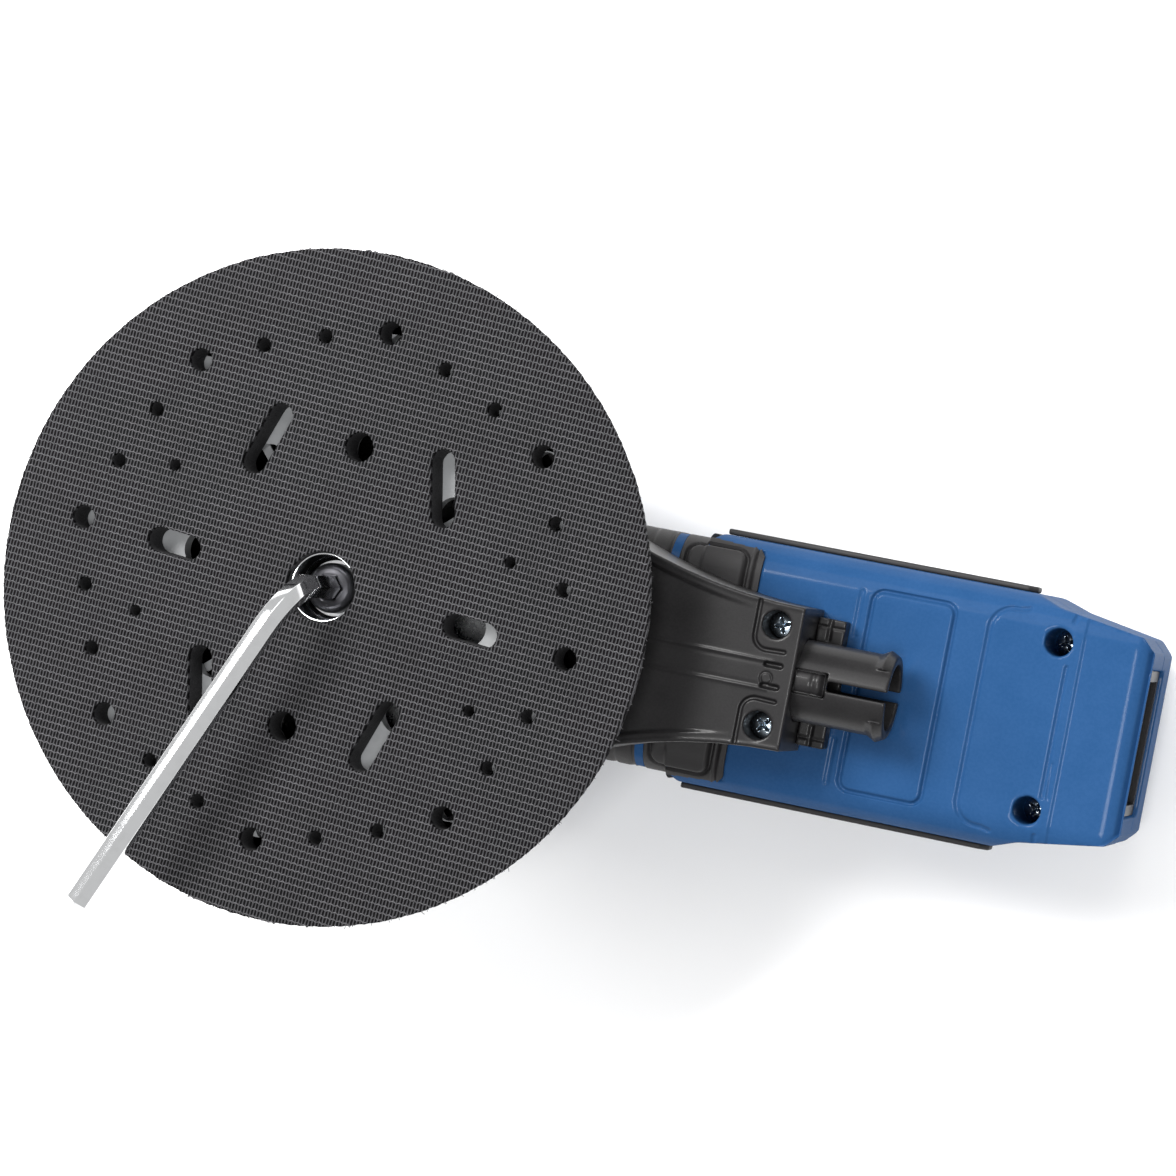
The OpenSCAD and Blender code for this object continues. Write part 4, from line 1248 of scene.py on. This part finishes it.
def ring_loop(centre: Point2, radius: float, height: float, sides: int, six: float = 0.0,
              turn: float = 0.0) -> np.ndarray:
    """Makes one loop of a loft.

    Args:
        centre: The loop's middle.
        radius: Its radius, or a hexagon's corner radius.
        height: Its height.
        sides: How many points it has.
        six: 1 for a hexagon and 0 for a circle.
        turn: The hexagon's turn in degrees.

    Returns:
        The loop's points.
    """
    loop = []
    for i in range(sides):
        angle = TAU * i / sides
        facet = (angle - math.radians(turn)) % (TAU / 6) - TAU / 12
        flat = radius * math.cos(TAU / 12) / math.cos(facet)
        r = radius + (flat - radius) * six
        loop.append((centre[0] + r * math.cos(angle), centre[1] + r * math.sin(angle), height))
    return np.array(loop)


class PadScrew(SubAssembly):
    """The black domed socket screw that holds the pad."""

    body = "screw"
    sides = 96
    key_turn = 245.6
    socket_r = 2.95
    shank_r = 3.95

    def make(self) -> None:
        """Makes the screw."""
        centre = tuple(middle("pad_screw")[:2])
        low, high = span_of("pad_screw", 2)
        x0, x1 = span_of("pad_screw", 0)
        head = (x1 - x0) / 2
        under = high - 5.0
        steps = [(0.3, low), (self.shank_r - 0.7, low), (self.shank_r, low + 0.8), (self.shank_r, under - 0.3),
                 (self.shank_r + 0.3, under), (head - 0.4, under), (head, under + 0.4), (head, high - 2.2)]
        steps += [(head - 1.9 * (1 - math.cos(a)), high - 2.2 + 2.0 * math.sin(a))
                  for a in np.linspace(0.2, math.pi / 2, 7)]
        loops = [ring_loop(centre, r, z, self.sides) for r, z in steps]
        loops.append(ring_loop(centre, self.socket_r + 0.35, high - 0.05, self.sides))
        for inset, depth in ((0.15, 0.15), (0.0, 0.4), (0.0, 4.2)):
            loops.append(ring_loop(centre, self.socket_r + inset, high - depth, self.sides, 1.0, self.key_turn))
        loops.append(ring_loop(centre, 0.3, high - 4.6, self.sides))
        screw = Forge.loft("domed_screw", loops)
        Forge.crisp(screw, 35)
        self.fit(screw, Finish.BLACK_OXIDE, "pad_screw")


@dataclass
class KeyShape:
    """Sizes of the hex key."""

    across_flats: float = 5.0
    edge: float = 0.32
    bend: float = 11.5
    turn: float = 245.6
    reach: float = 85.5


class HexKey(SubAssembly):
    """The bent hex key, standing in the screw's socket."""

    body = "key"

    def __init__(self, paint: Paint, shape: KeyShape | None = None) -> None:
        """Keeps the paint and the key's sizes."""
        super().__init__(paint)
        self.shape = shape or KeyShape()

    def _section(self) -> list[Point2]:
        """Returns a hexagon with eased corners, one of them on the second axis."""
        corner_r = self.shape.across_flats / 2 / math.cos(math.pi / 6)
        inner = corner_r - self.shape.edge / math.cos(math.pi / 6)
        section = []
        for k in range(6):
            turn = math.pi / 2 + k * math.pi / 3
            middle_x, middle_y = inner * math.cos(turn), inner * math.sin(turn)
            section += Lines.arc((middle_x, middle_y), self.shape.edge,
                                 math.degrees(turn) - 30, math.degrees(turn) + 30, 3)
        return section

    def make(self) -> None:
        """Makes the key."""
        axis = middle("pad_screw")[:2]
        low, high = span_of("hex_key", 2)
        radius = self.shape.across_flats / 2 / math.cos(math.pi / 6)
        arm = high - radius
        way = np.array([math.cos(math.radians(self.shape.turn)), math.sin(math.radians(self.shape.turn)), 0])
        side = np.array([-way[1], way[0], 0])
        lift = np.array([0, 0, 1.0])
        foot = np.array([*axis, 0])
        path, ups, sizes = [], [], []
        for z, size in ((low, 0.84), (low + 0.45, 1.0), (arm - self.shape.bend, 1.0)):
            path.append(foot + lift * z)
            ups.append(-way)
            sizes.append(size)
        for a in np.linspace(0, math.pi / 2, 25)[1:]:
            path.append(foot + way * self.shape.bend * (1 - math.cos(a))
                        + lift * (arm - self.shape.bend + self.shape.bend * math.sin(a)))
            ups.append(-way * math.cos(a) + lift * math.sin(a))
            sizes.append(1.0)
        for run in np.linspace(self.shape.bend, self.shape.reach - 0.7, 9)[1:]:
            path.append(foot + way * run + lift * arm)
            ups.append(lift)
            sizes.append(1.0)
        path.append(foot + way * self.shape.reach + lift * arm)
        ups.append(lift)
        sizes.append(0.78)
        key = Forge.sweep("bent_key", np.array(path), np.tile(side, (len(path), 1)), np.array(ups),
                          self._section(), sizes)
        Forge.crisp(key, 32)
        self.fit(key, Finish.CHROME, "hex_key")


class DustDuct(SubAssembly):
    """The flared duct from the shroud to the outlet."""

    voxel = 0.32
    half = 16.1
    flare = 0.0043
    widest = 24.0
    band = 2.8
    band_end = 92.0
    ear_x = (91.0, 94.0, 98.2)
    ear_y = (5.6, 8.4)
    ring_x = 95.3
    groove_y = 2.4

    def _half_at(self, x: np.ndarray) -> np.ndarray:
        """Returns the duct's half width along its length."""
        return np.minimum(self.widest, self.half + self.flare * (self.end - x) ** 2)

    def _seams(self) -> list[list[Point2]]:
        """Returns the seams round the two screw ears."""
        front, bend, back = self.ear_x
        inner, start = self.ear_y
        seams = []
        for side in (1, -1):
            turned = Lines.arc((bend, start), bend - front, 180, 270, 8)
            path = [(front, self.half - 0.2), *turned, (back, inner - 0.05)]
            seams.append([(x, side * y) for x, y in path])
        return seams

    def _height(self, points: np.ndarray) -> np.ndarray:
        """Gives the relief of the duct's face."""
        x, y = points[:, 0], points[:, 1]
        inside = self._half_at(x) - np.abs(y)
        fade = 1 - Lines.rise(x, 70.0, self.band_end)
        sunk = -0.75 * fade * Lines.rise(inside, self.band * 0.75, self.band)
        lip = 0.15 * np.exp(-((inside - 0.5) / 0.45) ** 2)
        height = sunk + lip
        for seam in self._seams():
            height += Lines.groove(Lines.near(points, seam), 0.9, 0.7)
        mark = Lines.near(points, Lines.circle((self.ring_x, -0.7), 1.3, 24))
        height += Lines.groove(mark, 0.5, 0.25)
        for side in (1, -1):
            slot = Lines.near(points, [(94.8, side * self.groove_y), (98.0, side * self.groove_y)])
            height += Lines.groove(slot, 1.1, 1.2)
            ridge = Lines.near(points, [(60, side * 3.2), (96, side * 3.1)])
            height += 0.18 * np.exp(-(ridge / 0.4) ** 2)
        return height

    def make(self) -> None:
        """Makes the duct."""
        self.end = span_of("dust_duct", 0)[1]
        top = span_of("dust_duct", 2)[1]
        duct = Forge.recast("duct_shell", "dust_duct", self.voxel, 3)
        seams = self._seams()

        def close(points: np.ndarray) -> np.ndarray:
            """Tells which points lie near the seams and grooves of the face."""
            near = points[:, 2] > top - 1
            least = np.full(len(points), np.inf)
            ring = Lines.circle((self.ring_x, -0.7), 1.3, 16)
            grooves = [[(60, s * self.groove_y), (98.2, s * self.groove_y)] for s in (1, -1)]
            for path in (*seams, ring, *grooves):
                least = np.minimum(least, Lines.near(points, path))
            return near & (least < 1.3)

        Forge.refine(duct, close)
        Forge.carve(duct, self._height)
        self.fit(duct, Finish.BLACK, "dust_duct")


class Outlet(SubAssembly):
    """The split outlet tube and its foot."""

    voxel = 0.3
    tab_half = 2.5
    tab_end = 108.0

    def _height(self, points: np.ndarray) -> np.ndarray:
        """Rounds the tab between the tube's halves and grooves the foot's lugs."""
        x, y, z = points.T
        on_tab = (z > self.top - 1.0) & (np.abs(y) < self.tab_half + 0.3) & (x < self.tab_end + 0.4)
        bow = 0.9 * (np.minimum(np.abs(y) / self.tab_half, 1.0)) ** 2.6
        nose = 1.0 * Lines.rise(x, self.tab_end - 1.6, self.tab_end) ** 1.5
        pinch = 0.3 * np.exp(-((x - self.tab_end + 2.6) / 0.5) ** 2)
        lug = (np.abs(y) > 9.5) & (z < self.top - 8) & (x < self.tab_end + 0.4)
        notch = np.minimum(np.abs(x - 104.2), np.abs(np.abs(y) - 12.6) + 0.2)
        return -(bow + nose + pinch) * on_tab + Lines.groove(notch, 0.9, 0.5) * lug

    def make(self) -> None:
        """Makes the tube."""
        self.top = span_of("dust_port", 2)[1]
        tube = Forge.recast("split_outlet", "dust_port", self.voxel, 3)
        Forge.carve(tube, self._height)
        self.fit(tube, Finish.BLACK, "dust_port")


class CrossScrews(SubAssembly):
    """Domed screws with a cross recess, one piece for each CAD node of screws."""

    head_r = 2.9
    sides = 64
    shank_r = 1.55

    def _recess(self, x: float, y: float, turn: float) -> float:
        """Returns the recess's depth at a point on the head."""
        u = x * math.cos(turn) + y * math.sin(turn)
        v = y * math.cos(turn) - x * math.sin(turn)
        depth = 0.0
        for a, b in ((u, v), (v, u)):
            arm = max(0.0, 1 - (abs(a) / 1.75) ** 6)
            depth = max(depth, 1.3 * arm * max(0.0, 1 - (abs(b) / 0.42) ** 4) * (1 - abs(a) / 2.6))
        return depth

    def _one(self, centre: Point2, top: float, low: float, turn: float) -> tuple[list, list]:
        """Makes the points and faces of one screw.

        Args:
            centre: Its axis.
            top: The height of its head's crown.
            low: The height of its tip.
            turn: The turn of its recess.

        Returns:
            Points and faces.
        """
        loops = []
        for r in np.linspace(0.04, self.head_r, 22):
            ring = ring_loop((0, 0), r, 0, self.sides)
            dome = 0.75 * (1 - (r / self.head_r) ** 2.4)
            ring[:, 2] = [top - 0.75 + dome - self._recess(px, py, turn) for px, py, _ in ring]
            loops.append(ring)
        for r, z in ((self.head_r, top - 2.0), (self.shank_r, top - 2.3), (self.shank_r, low + 0.6), (0.5, low)):
            loops.append(ring_loop((0, 0), r, z, self.sides))
        points = np.concatenate(loops) + np.array([*centre, 0])
        faces = [(i * self.sides + k, i * self.sides + (k + 1) % self.sides,
                  (i + 1) * self.sides + (k + 1) % self.sides, (i + 1) * self.sides + k)
                 for i in range(len(loops) - 1) for k in range(self.sides)]
        faces += [tuple(range(self.sides)), tuple(range(len(points) - self.sides, len(points)))]
        return points.tolist(), faces

    def make(self) -> None:
        """Makes the housing's and the duct's screws."""
        for name, node, turns in (("cover_screws", "housing_screws", (0.5, 1.1)),
                                  ("duct_fixings", "duct_screws", (0.3, 0.9))):
            low, high = span_of(node, 2)
            x = middle(node)[0]
            y = span_of(node, 1)[1] - self.head_r
            points: list = []
            faces: list = []
            for side, turn in zip((1, -1), turns):
                more, rings = self._one((x, side * y), high, low, turn)
                faces += [tuple(len(points) + k for k in ring) for ring in rings]
                points += more
            screws = Forge.build(name, points, faces)
            Forge.crisp(screws, 38)
            self.fit(screws, Finish.ZINC, node)


class Housing(SubAssembly):
    """The blue half shells, with the lines moulded into them."""

    cover_voxel = 0.5
    cup_voxel = 0.65
    panel = (111.4, 130.4, 22.8, 2.6)
    arch_x = (138.5, 146.5)
    arch_y = 24.6
    arch_r = 5.0
    seam_x = 157.0
    step_x = 159.7

    def _cover_lines(self) -> list[tuple[list[Point2], float, float]]:
        """Returns the cover's lines, each with its width and depth."""
        front, back = self.arch_x
        x0, x1, y, r = self.panel
        arch = [(back, self.arch_y + 0.5), (front + self.arch_r + 1, self.arch_y)]
        arch += Lines.arc((front + self.arch_r, self.arch_y - self.arch_r), self.arch_r, 90, 180)
        arch += [(px, -py) for px, py in reversed(arch)]
        return [
            (Lines.rounded_box(x0, x1, y, r), 1.0, 0.8),
            ([(x0 - 2.7, 12.0), (x0 - 2.7, y - 1)], 1.2, 0.3),
            ([(x0 - 2.7, 1 - y), (x0 - 2.7, -12.0)], 1.2, 0.3),
            (arch, 1.05, 0.5),
            ([(self.seam_x, -15.5), (self.seam_x, 13.8)], 0.9, 0.45),
            ([(self.seam_x + 1.2, -15.5), (self.seam_x + 0.9, -8.0)], 0.8, 0.3),
            ([(self.seam_x - 0.2, 24.2), (self.seam_x + 0.4, 26.4)], 1.0, 0.4),
            ([(self.seam_x - 0.2, -25.8), (self.seam_x - 0.2, -24.2)], 1.0, 0.4),
        ]

    def _cover_height(self, points: np.ndarray) -> np.ndarray:
        """Gives the relief of the rear cover's underside."""
        x, y = points[:, 0], points[:, 1]
        height = np.zeros(len(points))
        for path, width, depth in self._cover_lines():
            height += Lines.groove(Lines.near(points, path), width, depth)
        height -= 0.28 * Lines.rise(x, self.step_x - 0.25, self.step_x + 0.25)
        x0, x1, half, _ = self.panel
        inside = np.minimum.reduce([x - x0, x1 - x, half - np.abs(y)])
        height += 0.12 * Lines.rise(inside, 0.2, 0.9)
        end = Lines.rise(x, 170.5, 175.5)
        height -= 1.3 * end ** 1.5
        height *= Lines.rise(x, 84.0, 86.0)
        under_grip = (1 - Lines.rise(x, 84.4, 85.0)) * (1 - Lines.rise(np.abs(y), 26.0, 26.8))
        return height - 1.1 * under_grip * (x > 70)

    def make(self) -> None:
        """Makes both half shells."""
        top = span_of("lower_housing", 2)[1] - 1
        cover = Forge.recast("duct_side_shell", "lower_housing", self.cover_voxel, 4)
        lines = [path for path, _, _ in self._cover_lines()]

        def close(points: np.ndarray) -> np.ndarray:
            """Tells which points of the cover lie near its lines."""
            least = np.full(len(points), np.inf)
            for path in lines:
                least = np.minimum(least, Lines.near(points, path))
            step = np.abs(points[:, 0] - self.step_x)
            return (points[:, 2] > top - 6) & (points[:, 0] > 84) & (np.minimum(least, step) < 1.3)

        Forge.refine(cover, close)
        Forge.carve(cover, self._cover_height)
        self.fit(cover, Finish.BLUE, "lower_housing")
        cup = Forge.recast("palm_side_shell", "upper_housing", self.cup_voxel, 4)
        self._cut_vents(cup)
        self.fit(cup, Finish.BLUE, "upper_housing")

    def _cut_vents(self, cup: bpy.types.Object) -> None:
        """Carves slanting air vents into both flanks of the rear body."""
        for side in (1, -1):
            vents = [[(96 + 5.5 * k, 19), (99 + 5.5 * k, 30)] for k in range(8)]

            def near(points: np.ndarray) -> np.ndarray:
                """Gives each point's distance to the nearest vent."""
                return np.minimum.reduce([Lines.near(points, vent, (0, 2)) for vent in vents])

            def close(points: np.ndarray) -> np.ndarray:
                """Tells which points of the flank lie near a vent."""
                return (points[:, 1] * side > 26) & (near(points) < 2.2)

            Forge.refine(cup, close)
            Forge.carve(cup, lambda points: Lines.groove(near(points), 2.2, 1.4), (0, side, 0))


class SideGrips(SubAssembly):
    """Rubber panels that wrap the waist on both sides of the duct."""

    start_x = 41.0
    end_x = 85.0
    flank_end_x = 71.2
    corner = 8.0
    half_front = 27.0
    half_back = 28.8
    bottom_z = 36.6
    stripe = (63.7, 65.6)
    panel = (67.6, 81.0)
    panel_r = 2.4
    panel_run = 25.8
    frame_line = 83.2

    def _section(self, x: float, side: int, run: np.ndarray, out: float) -> np.ndarray:
        """Places a row of points round the waist's edge.

        Args:
            x: The place along the body.
            side: 1 for left and -1 for right.
            run: How far each point lies from the middle of the underside, along the surface.
            out: How far the points stand out of the surface.

        Returns:
            The points.
        """
        top = span_of("side_grip_left", 2)[1]
        wider = float(Lines.rise(np.array(x), self.flank_end_x - 0.6, self.flank_end_x + 0.4))
        half = self.half_front + (self.half_back - self.half_front) * wider
        flat = half - self.corner
        bend = self.corner * math.pi / 2
        points = []
        for s in run:
            if s < flat:
                y, z, normal = s, top, (0.0, 1.0)
            elif s < flat + bend:
                a = (s - flat) / self.corner
                normal = (math.sin(a), math.cos(a))
                y, z = flat + self.corner * normal[0], top - self.corner + self.corner * normal[1]
            else:
                y, z, normal = half, top - self.corner - (s - flat - bend), (1.0, 0.0)
            points.append((x, side * (y + out * normal[0]), z + out * normal[1]))
        return np.array(points)

    def _relief(self, x: np.ndarray, run: np.ndarray) -> np.ndarray:
        """Gives how far the rubber stands out of the body's surface.

        Args:
            x: The place along the body.
            run: The distance from the middle of the underside, along the surface.

        Returns:
            The heights.
        """
        height = np.full(x.shape, 0.30)
        low, high = self.panel
        r = self.panel_r
        past_x = np.maximum(np.maximum(low + r - x, x - high + r), 0.0)
        past_run = np.maximum(run - self.panel_run + r, 0.0)
        edge = r - np.hypot(past_x, past_run)
        height += 0.6 * Lines.rise(edge, 0.0, 0.7)
        height -= 0.95 * np.exp(-((edge + 0.45) / 0.38) ** 4)
        height -= 0.7 * np.exp(-((x - (self.stripe[0] + self.stripe[1]) / 2) / 1.0) ** 6)
        height -= 0.5 * np.exp(-((x - 62.8) / 0.4) ** 2)
        height += 0.3 * Lines.rise(x, 81.9, 82.3)
        height -= 0.6 * np.exp(-((x - self.frame_line) / 0.28) ** 2)
        for k in range(5):
            height -= 0.35 * np.exp(-((x - 44 - 3.6 * k) / 0.5) ** 2) * Lines.rise(run, 20.0, 22.0)
        return height

    def make(self) -> None:
        """Makes the two grips and the blue stripes let into them."""
        duct = DustDuct(self.paint)
        duct.end = span_of("dust_duct", 0)[1]
        columns = np.arange(self.start_x, self.end_x + 0.01, 0.2)
        for side, node in ((1, "side_grip_left"), (-1, "side_grip_right")):
            word = node.rsplit("_", 1)[1]
            flat_run = self.half_front - self.corner + self.corner * math.pi / 2
            longest = flat_run + span_of(node, 2)[1] - self.corner - self.bottom_z
            run = np.arange(14.0, longest, 0.28)
            grid_x, grid_run = np.meshgrid(columns, run, indexing="ij")
            relief = self._relief(grid_x, grid_run)
            top = np.array([self._section(x, side, run, 0.0) for x in columns])
            outward = np.array([self._section(x, side, run, 1.0) for x in columns]) - top
            inner = top - outward * 1.2
            outer = top + outward * relief[:, :, None]
            middle_x = (grid_x[:-1, :-1] + grid_x[1:, 1:]) / 2
            middle_run = (grid_run[:-1, :-1] + grid_run[1:, 1:]) / 2
            slope = np.interp(middle_run, [25.2, 27.2, 28.4, 80.0], [self.end_x, self.end_x - 1.4,
                                                                      self.flank_end_x, self.flank_end_x])
            keep = middle_x < slope
            grip = Forge.blanket(f"waist_grip_{word}", outer, inner, keep)
            Forge.crisp(grip, 50)
            self.fit(grip, Finish.GRIP, node)
            band = (middle_x > self.stripe[0]) & (middle_x < self.stripe[1]) & keep
            stripe = Forge.blanket(f"waist_stripe_{word}", top + outward * 0.12, top - outward * 1.0, band)
            Forge.crisp(stripe, 50)
            self.fit(stripe, Finish.BLUE)


class PalmGrip(SubAssembly):
    """The rubber dome that the palm rests on."""

    voxel = 0.6

    def make(self) -> None:
        """Makes the dome with its rings of pips."""
        dome = Forge.recast("palm_dome", "palm_grip", self.voxel, 4)
        points = Forge.points_of(dome)
        normals = np.empty(len(points) * 3)
        dome.data.vertex_normals.foreach_get("vector", normals)
        normals = normals.reshape(-1, 3)
        reach = np.hypot(points[:, 0], points[:, 1])
        outward = np.einsum("ij,ij->i", normals, points - np.array([0, 0, 25.0])) > 0
        rib = np.cos(TAU * (reach - 19.0) / 3.2)
        band = Lines.rise(reach, 19.0, 21.0) * (1 - Lines.rise(reach, 33.5, 35.5))
        points -= normals * (outward * band * Lines.rise(rib, 0.2, 0.9) * 0.45)[:, None]
        Forge.move_points(dome, points)
        self.fit(dome, Finish.GRIP, "palm_grip")


class Trim(SubAssembly):
    """The bumper strips, the shroud and its brake ring."""

    def make(self) -> None:
        """Makes the trim."""
        for word in ("left", "right"):
            strip = Forge.recast(f"bumper_{word}", f"bumper_strip_{word}", 0.3, 3)
            self.fit(strip, Finish.GRIP, f"bumper_strip_{word}")
        shroud = Forge.recast("flared_shroud", "shroud", 0.6, 4)
        self.fit(shroud, Finish.BLACK, "shroud")
        seal = Forge.recast("brake_seal", "pad_brake_ring", 0.45, 3)
        self.fit(seal, Finish.GRIP, "pad_brake_ring")


class Lever(SubAssembly):
    """The paddle lever under the palm."""

    body = "lever"

    def make(self) -> None:
        """Makes the lever with ribs across its paddle."""
        lever = Forge.recast("paddle", "paddle_lever", 0.4, 4)
        ribs = [[(x, -13.0), (x, 13.0)] for x in (84, 88, 92, 96, 100)]

        def height(points: np.ndarray) -> np.ndarray:
            """Gives the ribs' height on the paddle's outer face."""
            near = np.minimum.reduce([Lines.near(points, rib) for rib in ribs])
            return 0.3 * np.exp(-(near / 0.9) ** 4)

        Forge.carve(lever, height, (0, 0, -1))
        self.fit(lever, Finish.BLACK, "paddle_lever")


class Inside(SubAssembly):
    """Every CAD node that keeps its own shape, dressed by its material slot."""

    def make(self) -> None:
        """Coats the nodes that nothing replaces."""
        slots = {part["node"]: part["material_slot"] for part in frame["record"]["subparts"]}
        for node, piece in frame["nodes"].items():
            if not piece.hide_render:
                self.paint.coat(piece, SLOT_FINISH[slots[node]])


# ---------------------------------------------------------------- studio


@dataclass(frozen=True)
class Lamp:
    """A soft box: its place, size and strength."""

    name: str
    place: Colour
    size: float
    power: float
    tint: Colour = (1.0, 1.0, 1.0)


class Studio:
    """The camera, the floor and the lights."""

    eye = (0.278393, 0.029426, 0.967038)
    turn = (1.6243, 14.2755, 11.1579)
    lens = 125.98
    aim = (0.05, 0.0, 0.06)
    lamps = (
        Lamp("key_box", (-0.48, 0.48, 1.25), 0.5, 22.0, (1.0, 0.99, 0.98)),
        Lamp("left_box", (-0.95, 0.38, 0.62), 0.5, 8.0),
        Lamp("high_box", (0.00, 0.95, 1.35), 1.1, 9.0),
        Lamp("over_box", (0.42, -0.22, 2.00), 0.5, 17.0),
    )

    def set_up(self) -> None:
        """Makes the camera, lights, world and floor."""
        self._camera()
        self._light()
        self._floor()

    def _camera(self) -> None:
        """Places the camera."""
        data = bpy.data.cameras.new("camera")
        data.lens = self.lens
        data.sensor_width = 36.0
        data.clip_start = 0.01
        camera = bpy.data.objects.new("camera", data)
        camera.location = self.eye
        camera.rotation_euler = Euler([math.radians(a) for a in self.turn])
        bpy.context.collection.objects.link(camera)
        bpy.context.scene.camera = camera

    def _light(self) -> None:
        """Places the soft boxes and sets the world."""
        for lamp in self.lamps:
            data = bpy.data.lights.new(lamp.name, "AREA")
            data.size = lamp.size
            data.energy = lamp.power
            data.color = lamp.tint
            box = bpy.data.objects.new(lamp.name, data)
            box.location = lamp.place
            way = Matrix.Translation(self.aim).translation - box.location
            box.rotation_euler = way.to_track_quat("-Z", "Y").to_euler()
            bpy.context.collection.objects.link(box)
        world = bpy.data.worlds.new("studio")
        world.use_nodes = True
        sky = world.node_tree.nodes["Background"]
        sky.inputs["Color"].default_value = (1.0, 1.0, 1.0, 1.0)
        sky.inputs["Strength"].default_value = 0.60
        bpy.context.scene.world = world
        bpy.context.scene.view_settings.view_transform = "Standard"

    def _floor(self) -> None:
        """Lays the pale floor under the resting tool."""
        shader = Shader("pale_floor")
        cloud = shader.noise(60.0, 2.0)
        shader.feed("Base Color", shader.blend(cloud, (0.90, 0.90, 0.90), (0.93, 0.93, 0.93)))
        shader.feed("Roughness", 0.6)
        low = CAD_BOX[0][2] / MM
        reach = 3000.0
        corners = [(-reach, -reach, low), (reach, -reach, low), (reach, reach, low), (-reach, reach, low)]
        floor = Forge.build("floor", corners, [(0, 1, 2, 3)], smooth=False)
        floor.data.materials.append(shader.material)


def main() -> None:
    """Builds the sander's looks."""
    logging.basicConfig(level=logging.INFO, format="%(name)s: %(message)s")
    paint = Paint()
    Studio().set_up()
    for assembly in (Pad, PadFixing, PadScrew, HexKey, DustDuct, Outlet, CrossScrews, Housing,
                     SideGrips, PalmGrip, Trim, Lever):
        assembly(paint).make()
    Inside(paint).make()


if __name__ == "__main__":
    main()
